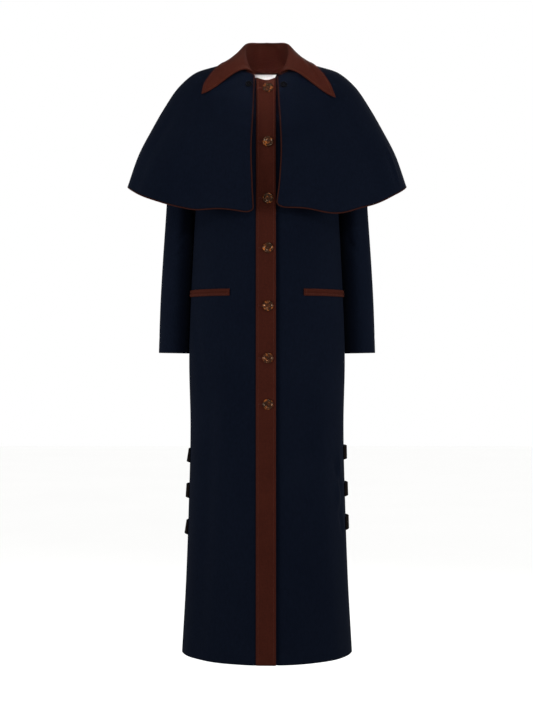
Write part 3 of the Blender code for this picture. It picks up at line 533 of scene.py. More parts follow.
def bandPlump(u, row, face):  # turned under at both edges, so its middle stands up softly; the free edge curls out
    curl = buttonBand["edgeCurl"] * ease((u - buttonBand["curlFrom"]) / (1 - buttonBand["curlFrom"]))
    return buttonBand["rise"] + buttonBand["plump"] * (1 - (2 * u - 1) ** 6) + curl


coatPieces = {}
for name, angleOf, grid, lift, wall, material, cut in (
    ("frontRight", frontRightAngle, coatBody["frontGrid"], seamDip, coatBody["wall"], melton, (0.36, 1.36)),
    ("frontLeft", frontLeftAngle, coatBody["frontGrid"], underlapDip, coatBody["wall"], melton, (0.40, 1.36)),
    ("backPanel", backAngle, coatBody["backGrid"], seamDip, coatBody["wall"], melton, (0.62, 1.40)),
    ("frontBand", bandAngle, buttonBand["grid"], bandPlump, buttonBand["wall"], shadedVelveteen, buttonBand["cut"]),
):
    outer, inner = panelGrid(angleOf, np.linspace(0, 1, grid[0] + 1), panelRows(grid[1]), lift, wall)
    coatPieces[name] = clothWall(name, outer, inner, material, cut)
print("coat body made")

# Sleeves

sleeves = {
    "along": [0.00, 0.06, 0.12, 0.22, 0.36, 0.50, 0.70, 0.85, 1.00],
    "outerX": [0.1780, 0.1985, 0.2120, 0.2228, 0.2312, 0.2380, 0.2472, 0.2526, 0.2558],
    "outerZ": [-0.0460, -0.0640, -0.0900, -0.1450, -0.2400, -0.3450, -0.4750, -0.5750, -0.6790],
    "innerX": [0.1662, 0.1676, 0.1688, 0.1692, 0.1676, 0.1680, 0.1728, 0.1770, 0.1808],
    "innerZ": [-0.2620, -0.2640, -0.2665, -0.2750, -0.3000, -0.3600, -0.4800, -0.5780, -0.6805],
    "halfDepth": [0.056, 0.062, 0.066, 0.068, 0.067, 0.064, 0.060, 0.057, 0.054],
    "middleY": [0.000, 0.002, 0.004, 0.010, 0.020, 0.029, 0.034, 0.034, 0.032],
    "capSeam": 0.10, "armholeGap": 0.0008, "armholeMiddle": (0.160, 0.0, -0.154),
    "wall": 0.0022, "grid": (72, 130), "roundArm": 0.060, "length": 0.64, "cut": (0.40, 0.66),
    "hemDepth": 0.034, "hemDip": 0.0004, "hemDipWidth": 0.003, "capRows": 24,
}
# across is metres round the arm from the armpit line by way of the front, up is metres down the sleeve
sleeveCreases = {
    "sleeveRight": [
        crease((0.045, 0.350), (0.130, 0.405), 0.011, -0.0031, bow=0.006),
        crease((0.060, 0.405), (0.140, 0.440), 0.010, -0.0022, bow=0.004),
        crease((0.330, 0.360), (0.240, 0.400), 0.012, -0.0031, bow=-0.006),
        crease((0.110, 0.160), (0.125, 0.540), 0.020, -0.0025),
        crease((0.260, 0.140), (0.250, 0.560), 0.024, 0.0022),
        crease((0.080, 0.520), (0.150, 0.560), 0.012, -0.0017),
    ],
    "sleeveLeft": [
        crease((0.050, 0.370), (0.120, 0.430), 0.012, -0.0034, bow=0.006),
        crease((0.340, 0.340), (0.250, 0.395), 0.012, -0.0028, bow=-0.005),
        crease((0.320, 0.410), (0.255, 0.440), 0.010, -0.0021),
        crease((0.135, 0.190), (0.118, 0.560), 0.022, -0.0028),
        crease((0.235, 0.170), (0.252, 0.520), 0.022, 0.0022),
    ],
}


def armholeEdge(turn):
    cut = np.where(np.sin(turn) > 0, -coatBody["armholeFront"], coatBody["armholeBack"])
    return np.pi / 2 + cut * np.abs(np.sin(turn)), 1.5 - 0.5 * np.cos(turn)


def sleevePoint(u, along, side):  # starts on the armhole and swings round into rings across the arm
    turn = 2 * np.pi * u
    angle, row = armholeEdge(turn)
    hole = bodyPoint(angle, rowHeight(angle, row))
    ring = {name: readTable(sleeves, "along", name, along)
            for name in ("outerX", "outerZ", "innerX", "innerZ", "halfDepth", "middleY")}
    swing = np.cos(turn)
    x = (ring["outerX"] + ring["innerX"]) / 2 - (ring["outerX"] - ring["innerX"]) / 2 * swing
    z = (ring["outerZ"] + ring["innerZ"]) / 2 - (ring["outerZ"] - ring["innerZ"]) / 2 * swing
    y = ring["middleY"] - ring["halfDepth"] * np.sin(turn)
    start = hole + unit(np.array(sleeves["armholeMiddle"]) - hole) * sleeves["armholeGap"]
    point = start + (stackPoints(x, y, z) - start) * ease(along / sleeves["capSeam"])[..., None]
    point[..., 0] *= side
    return point


def sleeveNormal(u, along, side):
    own = surfaceNormals(lambda a, b: sleevePoint(a, b, side), u, along) * -side
    angle, row = armholeEdge(2 * np.pi * u)
    body = surfaceNormals(bodyPoint, angle, rowHeight(angle, row))
    body[..., 0] *= side
    agree = ease(2 * np.sum(own * body, axis=-1) - 1)
    return unit(own + (body - own) * (agree * (1 - ease(along / sleeves["capSeam"])))[..., None])


sleevePieces = {}
down = np.concatenate([np.linspace(0, sleeves["capSeam"], sleeves["capRows"]),
                       np.linspace(sleeves["capSeam"], 1, sleeves["grid"][1] - sleeves["capRows"] + 1)[1:]])
u, along = np.meshgrid(np.arange(sleeves["grid"][0]) / sleeves["grid"][0], down)
for name, side in (("sleeveRight", -1), ("sleeveLeft", 1)):
    face = sleevePoint(u, along, side)
    out = sleeveNormal(u, along, side)
    length = along * sleeves["length"]
    raised = creaseLift(sleeveCreases[name], u * 2 * np.pi * sleeves["roundArm"], length)
    fromCuff = sleeves["length"] - length
    raised = raised - sleeves["hemDip"] * np.exp(
        -(((fromCuff - sleeves["hemDepth"]) / sleeves["hemDipWidth"]) ** 2))
    sleevePieces[name] = clothWall(
        name, face + out * raised[..., None], face + out * (raised - sleeves["wall"])[..., None], melton,
        sleeves["cut"], ring=True)
print("sleeves made")

# Collar

collar = {
    "angle": [31, 47, 57, 72, 90, 110, 140, 180],
    "rollZ": [-0.0400, -0.0280, -0.0140, 0.0070, 0.0290, 0.0470, 0.0565, 0.0600],
    "edgeX": [0.1490, 0.1445, 0.1300, 0.1105, 0.1020, 0.0890, 0.0580, 0.0000],
    "edgeY": [-0.0920, -0.0850, -0.0700, -0.0380, 0.0080, 0.0480, 0.0820, 0.0970],
    "edgeZ": [-0.0878, -0.0650, -0.0383, -0.0108, 0.0010, -0.0060, -0.0200, -0.0260],
    "lift": [0.042, 0.034, 0.027, 0.020, 0.016, 0.014, 0.014, 0.014],
    "spread": [0.034, 0.024, 0.017, 0.010, 0.007, 0.006, 0.006, 0.006],
    "bulge": [-0.002, 0.005, 0.008, 0.003, -0.002, 0.000, 0.001, 0.001],
    "rollHalfWidth": 0.0497, "rollFront": 0.080, "rollBack": 0.066, "start": 31.0, "standLift": 0.0035,
    "leafFill": 0.40, "rollShare": 0.12, "wall": 0.0020, "leftTip": (0.007, -0.003, -0.009), "leftTipReach": 20.0,
    "lapZ": -0.0136, "lapFrom": 100.0, "lapReach": 28.0, "lapInset": 0.0058, "lapRows": 5,
    "lapLeast": 0.0004, "lapEase": 0.0030, "creaseArc": 0.06, "creaseLength": 0.14, "rowCrowd": 1.3,
    "standGrid": (120, 16), "leafGrid": (180, 56), "standCut": (0.42, 0.075), "leafCut": (0.62, 0.17),
}
# across is the turn from centre front times 0.06 m, up is the leaf's share from roll to edge times 0.14 m
leafCreases = [
    crease((0.040, 0.112), (0.092, 0.088), 0.0055, -0.0014),
    crease((0.036, 0.096), (0.084, 0.074), 0.0075, 0.0012),
    crease((0.295, 0.060), (0.330, 0.105), 0.0090, -0.0009),
    crease((0.150, 0.020), (0.156, 0.120), 0.0120, -0.0008),
    crease((0.226, 0.020), (0.220, 0.120), 0.0120, -0.0009),
]


def fromFront(turn):  # degrees from centre front, either way round
    return np.degrees(np.abs(np.pi - np.abs(turn - np.pi)))


def rollPoint(turn):
    depth = np.where(np.cos(turn) > 0, collar["rollFront"], collar["rollBack"])
    height = readTable(collar, "angle", "rollZ", fromFront(turn))
    return stackPoints(collar["rollHalfWidth"] * np.sin(turn), -depth * np.cos(turn), height)


def collarTurn(u):
    start = np.radians(collar["start"])
    return start + (2 * np.pi - 2 * start) * u


def standPoint(u, v):
    turn = collarTurn(u)
    base = neckPoint(turn)
    base[..., 2] += collar["standLift"]
    top = rollPoint(turn)
    top[..., 2] -= coatBody["seamGap"]
    return base + (top - base) * v[..., None]


def lapPoint(u, share):  # the stand's lower edge turns inside the back of the neck and hides the seam there
    foot, head = np.zeros(np.shape(u)), np.ones(np.shape(u))
    base = standPoint(u, foot)
    rise = standPoint(u, head) - base
    reach = ease((fromFront(collarTurn(u)) - collar["lapFrom"]) / collar["lapReach"])
    drop = np.maximum(collar["lapLeast"], (base[..., 2] - collar["lapZ"]) * reach) * share
    inset = collar["lapInset"] * ease(drop / collar["lapEase"])
    out = -surfaceNormals(standPoint, u, foot)
    return base - rise / rise[..., 2:] * drop[..., None] + out * inset[..., None]


def leafPoint(u, v):  # up from the roll line, over, and down to the edge, one cubic at each angle
    turn = collarTurn(u)
    degrees = fromFront(turn)
    row = {name: readTable(collar, "angle", name, degrees)
           for name in ("edgeX", "edgeY", "edgeZ", "lift", "spread", "bulge")}
    start = rollPoint(turn)
    side = np.where(turn < np.pi, 1.0, -1.0)
    tip = (1 - ease((degrees - collar["start"]) / collar["leftTipReach"])) * (side > 0)
    end = stackPoints(side * row["edgeX"], row["edgeY"], row["edgeZ"]) + np.array(collar["leftTip"]) * tip[..., None]
    out = end - start
    out[..., 2] = 0
    up = np.array([0.0, 0.0, 1.0])
    first = start + up * row["lift"][..., None] + unit(out) * row["spread"][..., None]
    second = end + (start - end) * collar["leafFill"] + up * row["bulge"][..., None]
    v = v[..., None]
    return start * (1 - v) ** 3 + 3 * first * v * (1 - v) ** 2 + 3 * second * v**2 * (1 - v) + end * v**3


def leafNormal(u, v):
    own = -surfaceNormals(leafPoint, u, v)
    stand = -surfaceNormals(standPoint, u, np.ones(np.shape(v)))
    return unit(stand + (own - stand) * ease(v / collar["rollShare"])[..., None])


def leafLift(u, v):
    return creaseLift(leafCreases, collarTurn(u) * collar["creaseArc"], v * collar["creaseLength"])


u, v = np.meshgrid(np.linspace(0, 1, collar["standGrid"][0] + 1), np.linspace(0, 1, collar["standGrid"][1] + 1))
face = standPoint(u, v)
out = -surfaceNormals(standPoint, u, v)
share = np.linspace(1, 0, collar["lapRows"] + 1)[:-1]
lap = np.array([lapPoint(u[0], np.full(u.shape[1], s)) for s in share])
face = np.concatenate([lap, face])
out = np.concatenate([np.repeat(out[:1], len(share), axis=0), out])
collarStand = clothWall(
    "collarStand", face, face - out * collar["wall"], ribbedVelveteen, collar["standCut"], roundEdge=0.1)
u, v = np.meshgrid(np.linspace(0, 1, collar["leafGrid"][0] + 1),
                   np.linspace(0, 1, collar["leafGrid"][1] + 1) ** collar["rowCrowd"])
face = leafPoint(u, v)
out = leafNormal(u, v)
raised = leafLift(u, v)
collarLeaf = clothWall(
    "collarLeaf", face + out * raised[..., None], face + out * (raised - collar["wall"])[..., None], velveteen,
    collar["leafCut"])
print("collar made")

# Cape

cape = {
    "along": [0.00, 0.12, 0.24, 0.37, 0.52, 0.68, 0.84, 1.00],
    "sideX": [0.0670, 0.1145, 0.1615, 0.2055, 0.2400, 0.2700, 0.3008, 0.3266],
    "sideZ": [0.0090, -0.0082, -0.0215, -0.0560, -0.1055, -0.1580, -0.2180, -0.2928],
    "frontY": [0.0885, 0.1015, 0.1165, 0.1310, 0.1430, 0.1500, 0.1545, 0.1580],
    "frontZ": [-0.0475, -0.0850, -0.1240, -0.1650, -0.2130, -0.2620, -0.3150, -0.3660],
    "backY": [0.0790, 0.0980, 0.1130, 0.1250, 0.1360, 0.1450, 0.1520, 0.1580],
    "backZ": [-0.0020, -0.0400, -0.0800, -0.1230, -0.1720, -0.2240, -0.2770, -0.3300],
    "dropPower": [1.70, 1.70, 1.50, 1.35, 1.25, 1.30, 1.35, 1.40],
    "roundness": 0.80, "neckLift": 0.0060, "neckScale": 1.04, "neckBlend": 0.20,
    "corner": 0.012, "frontLength": 0.33, "hemLength": 0.36,
    "tiltReach": 0.6, "sagReach": 0.7, "waveReach": 0.17, "sideRadius": 0.10, "edgeLimit": 0.9, "wall": 0.0022,
    "cornerSteps": [0, 0.04, 0.12, 0.25, 0.45, 0.7], "creaseArc": 0.25, "creaseLength": 0.36,
    "frontGrid": (70, 72), "backGrid": (130, 72), "frontCut": (0.50, 0.38), "backCut": (0.95, 0.38),
}
# how each front hangs: its corner's tilt, the hem's sag and one wave in the hem
capeSides = {
    "right": {"sign": -1, "edge": "rightX", "tilt": -0.004, "sag": 0.0, "wave": 0.0092, "waveAt": 0.11},
    "left": {"sign": 1, "edge": "leftX", "tilt": 0.011, "sag": -0.009, "wave": -0.0095, "waveAt": 0.24},
}
capeEdges = {
    "along": [0.00, 0.30, 0.55, 0.80, 1.00],
    "rightX": [-0.0270, -0.0315, -0.0350, -0.0325, -0.0290],
    "leftX": [0.0215, 0.0280, 0.0310, 0.0270, 0.0190],
}
capeBinding = {"width": 0.0028, "depth": 0.0030, "gap": 0.0002, "top": 0.01, "end": 0.0006, "sides": 10,
               "squareness": 0.7, "girth": 0.014, "edgeRows": 74, "hemRows": 70, "backRows": 140}
# across is the angle from centre front times 0.25 m (the back's middle is 0.785), up is metres down the cape
capeCreases = {
    "right": [
        crease((0.085, 0.160), (0.098, 0.370), 0.024, -0.0031, end=0.15),
        crease((0.170, 0.120), (0.196, 0.370), 0.030, 0.0036, end=0.15),
        crease((0.275, 0.150), (0.292, 0.370), 0.026, -0.0039, end=0.15),
        crease((0.125, 0.085), (0.100, 0.135), 0.007, -0.0017),
        crease((0.210, 0.090), (0.160, 0.140), 0.010, -0.0014),
    ],
    "left": [
        crease((0.110, 0.170), (0.120, 0.370), 0.026, 0.0031, end=0.15),
        crease((0.205, 0.130), (0.220, 0.370), 0.028, -0.0036, end=0.15),
        crease((0.318, 0.270), (0.300, 0.352), 0.008, 0.0022),
        crease((0.300, 0.285), (0.286, 0.345), 0.009, -0.0022),
        crease((0.060, 0.095), (0.090, 0.150), 0.009, -0.0014),
    ],
    "back": [
        crease((0.520, 0.110), (0.500, 0.370), 0.030, -0.0063, end=0.15),
        crease((0.610, 0.140), (0.604, 0.370), 0.028, 0.0056, end=0.15),
        crease((0.715, 0.090), (0.708, 0.370), 0.032, -0.0063, end=0.15),
        crease((0.800, 0.160), (0.806, 0.370), 0.026, 0.0050, end=0.15),
        crease((0.890, 0.100), (0.902, 0.370), 0.032, -0.0067, end=0.15),
        crease((0.985, 0.150), (1.000, 0.370), 0.028, 0.0056, end=0.15),
        crease((1.070, 0.120), (1.085, 0.370), 0.028, -0.0050, end=0.15),
    ],
}


def capeSurface(turn, along):
    ring = {name: readTable(cape, "along", name, along)
            for name in ("sideX", "sideZ", "frontY", "frontZ", "backY", "backZ", "dropPower")}
    front = np.cos(turn) > 0
    across = np.abs(np.sin(turn)) ** cape["roundness"] * np.sign(np.sin(turn))
    ahead = np.abs(np.cos(turn)) ** cape["roundness"] * -np.sign(np.cos(turn))
    drop = np.abs(np.cos(turn)) ** ring["dropPower"]
    endZ = np.where(front, ring["frontZ"], ring["backZ"])
    depth = np.where(front, ring["frontY"], ring["backY"])
    free = stackPoints(ring["sideX"] * across, depth * ahead, ring["sideZ"] + (endZ - ring["sideZ"]) * drop)
    neck = neckPoint(turn, cape["neckScale"])
    neck[..., 2] += cape["neckLift"]
    return neck + (free - neck) * ease(along / cape["neckBlend"])[..., None]


def capeEdgeTurn(along, hang):
    target = readTable(capeEdges, "along", hang["edge"], along) * hang["sign"] + capeBinding["width"]
    reach = np.full(np.shape(along), cape["edgeLimit"])
    return findRoot(lambda turn: capeSurface(turn, along)[..., 0] - target, reach * 0, reach)


def capeFrontPoint(u, v, hang):  # u from the free edge to the shoulder line, v from the neck to the hem
    near = np.clip(1 - u * cape["hemLength"] / cape["corner"], 0, 1)
    lift = cape["corner"] * (1 - np.sqrt(1 - near**2))
    along = v * (1 - (lift + capeBinding["width"]) / cape["frontLength"])
    start = capeEdgeTurn(along, hang)
    turn = start + (np.pi / 2 - coatBody["seamGap"] / 2 / cape["sideRadius"] - start) * u
    point = capeSurface(turn, along)
    tilted = hang["tilt"] * (1 - ease(u / cape["tiltReach"]))
    sagged = hang["sag"] * np.sin(np.pi * np.clip(u / cape["sagReach"], 0, 1)) ** 2
    waved = hang["wave"] * np.cos(np.pi / 2 * np.clip((u - hang["waveAt"]) / cape["waveReach"], -1, 1)) ** 2
    point[..., 2] += v**2 * (tilted + sagged + waved)
    point[..., 0] *= hang["sign"]
    return point


def capeBackPoint(u, v):
    gap = coatBody["seamGap"] / 2 / cape["sideRadius"]
    turn = np.pi / 2 + gap + (np.pi - 2 * gap) * u
    return capeSurface(turn, v * (1 - capeBinding["width"] / cape["frontLength"]))


def capeLift(side, u, v):
    turn = u * np.pi / 2 if side != "back" else np.pi / 2 + np.pi * u
    return creaseLift(capeCreases[side], turn * cape["creaseArc"], v * cape["creaseLength"])


def capeFace(side, u, v):  # creased outer face and the way it faces
    def point(a, b):
        return capeBackPoint(a, b) if side == "back" else capeFrontPoint(a, b, capeSides[side])

    out = surfaceNormals(point, u, v) * (1 if side == "right" else -1)
    return point(u, v) + out * capeLift(side, u, v)[..., None], out


capePieces = {}
corner = cape["corner"] / cape["hemLength"]
for side, grid, cut in (
    ("right", cape["frontGrid"], cape["frontCut"]),
    ("left", cape["frontGrid"], cape["frontCut"]),
    ("back", cape["backGrid"], cape["backCut"]),
):
    if side == "back":
        columns = np.linspace(0, 1, grid[0] + 1)
    else:
        steps = corner * np.array(cape["cornerSteps"])
        columns = np.concatenate([steps, np.linspace(corner, 1, grid[0] + 1 - len(steps))])
    u, v = np.meshgrid(columns, np.linspace(0, 1, grid[1] + 1))
    face, out = capeFace(side, u, v)
    name = "cape" + side.capitalize()
    capePieces[side] = clothWall(name, face, face - out * cape["wall"], melton, cut, roundEdge=0.1)


def bindingTube(name, side, u, v):  # a folded strip, oval in section, along the cloth's cut edge
    face, out = capeFace(side, u, v)
    edge = face - out * cape["wall"] / 2
    run = unit(np.gradient(edge, axis=0))
    outward = unit(np.cross(run, out))
    inside = capeFace(side, np.full(len(u), 0.5), np.full(len(u), 0.5))[0]
    if np.sum((edge - inside) * outward) < 0:
        outward = -outward
    centre = edge + outward * (capeBinding["width"] / 2 + capeBinding["gap"])
    spokes = np.linspace(0, 2 * np.pi, capeBinding["sides"], endpoint=False)
    wide = np.sign(np.cos(spokes)) * np.abs(np.cos(spokes)) ** capeBinding["squareness"]
    deep = np.sign(np.sin(spokes)) * np.abs(np.sin(spokes)) ** capeBinding["squareness"]
    rings = centre[:, None] + outward[:, None] * (wide * capeBinding["width"] / 2)[None, :, None]
    rings = rings + out[:, None] * (deep * capeBinding["depth"] / 2)[None, :, None]
    rows, columns = rings.shape[:2]
    ci, cj = gridFaces(rows, columns, True)
    quads = ci * columns + cj % columns
    length = np.concatenate([[0], np.cumsum(np.linalg.norm(np.diff(centre, axis=0), axis=1))])
    uv = np.stack([cj / columns * capeBinding["girth"], length[ci]], -1)
    first = rings[0].mean(axis=0)
    corners = rings.reshape(-1, 3)[quads[0]]
    facing = np.cross(corners[1] - corners[0], corners[3] - corners[0])
    if np.dot(facing, corners.mean(axis=0) - first) < 0:
        quads = quads[:, ::-1]
        uv = uv[:, ::-1]
        ends = [list(range(columns)), [(rows - 1) * columns + j for j in reversed(range(columns))]]
    else:
        ends = [list(reversed(range(columns))), [(rows - 1) * columns + j for j in range(columns)]]
    faces = quads.tolist() + ends
    uvs = np.concatenate([uv.reshape(-1, 2), np.zeros((2 * columns, 2))])
    return addPiece(name, rings.reshape(-1, 3), faces, shadedBindingVelveteen, uvs)


down = np.linspace(capeBinding["top"], 1, capeBinding["edgeRows"])
hem = np.concatenate([corner * np.array(cape["cornerSteps"][1:]),
                      np.linspace(corner, 1 - capeBinding["end"], capeBinding["hemRows"])])
u = np.concatenate([np.zeros(len(down)), hem])
v = np.concatenate([down, np.ones(len(hem))])
backHem = np.linspace(capeBinding["end"], 1 - capeBinding["end"], capeBinding["backRows"])
bindings = {
    "right": bindingTube("capeBindingRight", "right", u, v),
    "left": bindingTube("capeBindingLeft", "left", u, v),
    "back": bindingTube("capeBindingBack", "back", backHem, np.ones(len(backHem))),
}
print("cape made")

# Pocket welts

welts = {
    "z": -0.542, "height": 0.015, "start": 0.06, "reachRight": 0.75, "reachLeft": 0.665,
    "lift": 0.0004, "wall": 0.0018, "plump": 0.0012, "slit": 0.0015, "slitWidth": 0.13,
    "grid": (60, 30), "cut": (0.15, 0.034),
}


def weltPlump(u, row, face):  # two folded lips that meet along the middle, where the pocket opens
    t = (face[..., 2] - welts["z"]) / welts["height"] * 2
    slit = welts["slit"] * np.exp(-((t / welts["slitWidth"]) ** 2))
    return welts["lift"] + welts["wall"] + welts["plump"] * (1 - np.abs(t) ** 4) - slit


weltPieces = {}
weltRows = lowerRow(welts["z"] + welts["height"] * np.linspace(-0.5, 0.5, welts["grid"][1] + 1))
for name, angleOf, reach in (
    ("pocketWeltRight", frontRightAngle, welts["reachRight"]),
    ("pocketWeltLeft", frontLeftAngle, welts["reachLeft"]),
):
    columns = np.linspace(welts["start"], reach, welts["grid"][0] + 1)
    columns = 1 - columns if angleOf is frontLeftAngle else columns
    outer, inner = panelGrid(angleOf, columns, weltRows, weltPlump, welts["wall"])
    weltPieces[name] = clothWall(name, outer, inner, shadedVelveteen, welts["cut"])

# Label

label = {"top": -0.0130, "height": 0.0200, "halfWidth": 0.0270, "middleX": -0.0045, "taper": 0.42, "gap": 0.0013,
         "wall": 0.0010, "grid": (32, 18), "cut": (0.054, 0.022)}


def labelPoint(across, z):  # drawn in toward its lower edge
    x = label["middleX"] + across * (1 - label["taper"] * (label["top"] - z) / label["height"])
    return bodyPoint(np.pi - np.arcsin(x / readTable(coatBody, "z", "halfWidth", z)), z)


u, v = np.meshgrid(np.linspace(-label["halfWidth"], label["halfWidth"], label["grid"][0] + 1),
                   np.linspace(label["top"] - label["height"], label["top"], label["grid"][1] + 1))
out = -surfaceNormals(labelPoint, u, v)
face = labelPoint(u, v) - out * (coatBody["wall"] + label["gap"])
neckLabel = clothWall("neckLabel", face, face - out * label["wall"], labelTaffeta, label["cut"])

# Side tabs

tabs = {
    "rightZ": [-0.919, -1.002, -1.087], "leftZ": [-0.912, -0.998, -1.076],
    "rightBow": [0.0040, 0.0058, 0.0044], "leftBow": [0.0055, 0.0058, 0.0055], "rightFlare": [0.55, 0.10, 0.45],
    "height": 0.030, "gap": 0.0004, "wall": 0.0022, "bowPower": 1.5, "frontShare": 0.1, "backShare": 1 / 9,
    "grid": (40, 14), "cut": (0.085, 0.062),
}
tabPieces = {}
share, height = np.meshgrid(np.linspace(0, 1, tabs["grid"][0] + 1), np.linspace(-0.5, 0.5, tabs["grid"][1] + 1))
bowed = (4 * share * (1 - share)) ** tabs["bowPower"]
for number in (1, 2, 3):
    for name, side in (("Right", -1), ("Left", 1)):
        z = tabs[name.lower() + "Z"][number - 1]
        bow = tabs[name.lower() + "Bow"][number - 1]
        flare = tabs["rightFlare"][number - 1] if side < 0 else 0.0
        level = z + tabs["height"] * height
        row = lowerRow(level)
        if side > 0:
            front, back = frontLeftAngle(1 - tabs["frontShare"], row), backAngle(tabs["backShare"], row)
        else:
            front, back = frontRightAngle(tabs["frontShare"], row), backAngle(1 - tabs["backShare"], row) - 2 * np.pi
        angle = front + (back - front) * share
        out = surfaceNormals(bodyPoint, angle, level)
        raised = tabs["gap"] + bow * bowed * (1 - 2 * flare * height) + np.maximum(0, coatLift(angle, level))
        under = bodyPoint(angle, level) + out * raised[..., None]
        tabPieces[f"sideTab{name}{number}"] = clothWall(
            f"sideTab{name}{number}", under + out * tabs["wall"], under, shadedTabCloth, tabs["cut"])
print("welts, label and tabs made")

# Buttons

buttons = {
    "heights": [-0.0757, -0.203, -0.3306, -0.4426, -0.5736, -0.691, -0.795], "x": 0.0020, "radius": 0.0122,
    "gap": 0.0004, "sides": 40, "holeRing": 0.21, "holeRadius": 0.078, "holeSides": 12, "turn": 0.6, "turnStep": 0.9,
    "sharp": 0.7, "threadRadius": 0.00042, "threadSides": 8, "barPoints": 9, "barLift": 0.0005, "barDip": 0.0018,
    # radius and height shares from the back's edge over the raised rim into the dish
    "profile": [(0.62, 0.0), (0.80, 0.0), (0.90, 0.015), (0.97, 0.06), (1.0, 0.13), (0.99, 0.22), (0.96, 0.29),
                (0.90, 0.345), (0.83, 0.36), (0.76, 0.34), (0.70, 0.29), (0.64, 0.235), (0.56, 0.20), (0.46, 0.185)],
}
capeButtons = {"radius": 0.0082, "across": 0.085, "along": 0.122, "gap": 0.0003, "turn": 0.2}


def buttonShape(radius):  # turned rim and dish with four sewing holes through the middle
    builder = bmesh.new()

    def ring(count, x, y, reach, height):
        turns = np.arange(count) * 2 * np.pi / count
        return [builder.verts.new((x + reach * np.cos(a), y + reach * np.sin(a), height)) for a in turns]

    def join(low, high):
        for j in range(len(low)):
            k = (j + 1) % len(low)
            builder.faces.new((low[j], low[k], high[k], high[j]))

    def edgesOf(loop):
        return [builder.edges.get((loop[j], loop[(j + 1) % len(loop)])) for j in range(len(loop))]

    loops = [ring(buttons["sides"], 0, 0, radius * share, radius * height) for share, height in buttons["profile"]]
    for low, high in zip(loops, loops[1:]):
        join(low, high)
    floor, back = edgesOf(loops[-1]), edgesOf(loops[0])
    holeReach = radius * buttons["holeRing"]
    for quarter in range(4):
        middle = np.pi / 4 + quarter * np.pi / 2
        top, foot = [ring(buttons["holeSides"], holeReach * np.cos(middle), holeReach * np.sin(middle),
                          radius * buttons["holeRadius"], radius * height)
                     for height in (buttons["profile"][-1][1], 0.0)]
        join(top, foot)
        floor += edgesOf(top)
        back += edgesOf(foot)
    for group in (floor, back):
        bmesh.ops.triangle_fill(builder, use_beauty=True, use_dissolve=False, edges=group)
    bmesh.ops.recalc_face_normals(builder, faces=builder.faces)
    mesh = bpy.data.meshes.new("buttonShape")
    builder.to_mesh(mesh)
    builder.free()
    return mesh


def placeButton(name, radius, seat, out, turn, material, thread):
    mesh = buttonShape(radius)
    tilt = Vector((0, 0, 1)).rotation_difference(Vector(out))
    spin = np.array([[np.cos(turn), -np.sin(turn), 0], [np.sin(turn), np.cos(turn), 0], [0, 0, 1]])
    turnAll = np.array(tilt.to_matrix()) @ spin
    points = np.array([v.co for v in mesh.vertices])
    faces = [list(p.vertices) for p in mesh.polygons]
    bpy.data.meshes.remove(mesh)
    button = addPiece(name, points @ turnAll.T + seat, faces, material)
    button.data.set_sharp_from_angle(angle=buttons["sharp"])
    reach = radius * buttons["holeRing"] * np.sin(np.pi / 4)
    top = radius * buttons["profile"][-1][1]
    paths = []
    t = np.linspace(-1, 1, buttons["barPoints"])
    for side in (-1, 1):  # two parallel bars of sewing thread
        bar = np.stack([reach * t, np.full(len(t), side * reach),
                        top + buttons["barLift"] - buttons["barDip"] * t**6], -1)
        paths.append(bar @ turnAll.T + seat)
    points, faces = tubeMesh(paths, buttons["threadRadius"] * radius / buttons["radius"], buttons["threadSides"])
    bars = addPiece(name + "Thread", points, faces, thread)
    return button, bars


buttonPieces = {}
for number, z in enumerate(buttons["heights"], 1):
    angle = np.array(np.arcsin(buttons["x"] / readTable(coatBody, "z", "halfWidth", z)))
    out = surfaceNormals(bodyPoint, angle, np.array(z))
    seat = bodyPoint(angle, z) + out * (buttonBand["rise"] + buttonBand["plump"] + buttons["gap"])
    buttonPieces[f"button{number}"] = placeButton(
        f"button{number}", buttons["radius"], seat, out, buttons["turn"] + number * buttons["turnStep"], acetate,
        brownThread)
for name, side in (("Right", "right"), ("Left", "left")):
    face, out = capeFace(side, np.array([capeButtons["across"]]), np.array([capeButtons["along"]]))
    buttonPieces["capeButton" + name] = placeButton(
        "capeButton" + name, capeButtons["radius"], face[0] + out[0] * capeButtons["gap"], out[0],
        capeButtons["turn"], blackPolyester, navyThread)
print("buttons made")

# Sewing

sewing = {
    "pitch": 0.0034, "length": 0.0027, "radius": 0.00030, "seed": 4, "uneven": 0.10, "edge": 0.0045,
    "proud": 0.3,  # share of the thread's radius that its middle stands off the cloth
    "bandRows": 420, "weltInset": 0.02, "weltHeight": 0.30, "weltPoints": (60, 8),
    "leafStart": 0.12, "leafEdge": 0.955, "leafFront": 0.010, "leafCorner": 0.012, "leafPoints": (60, 420),
}


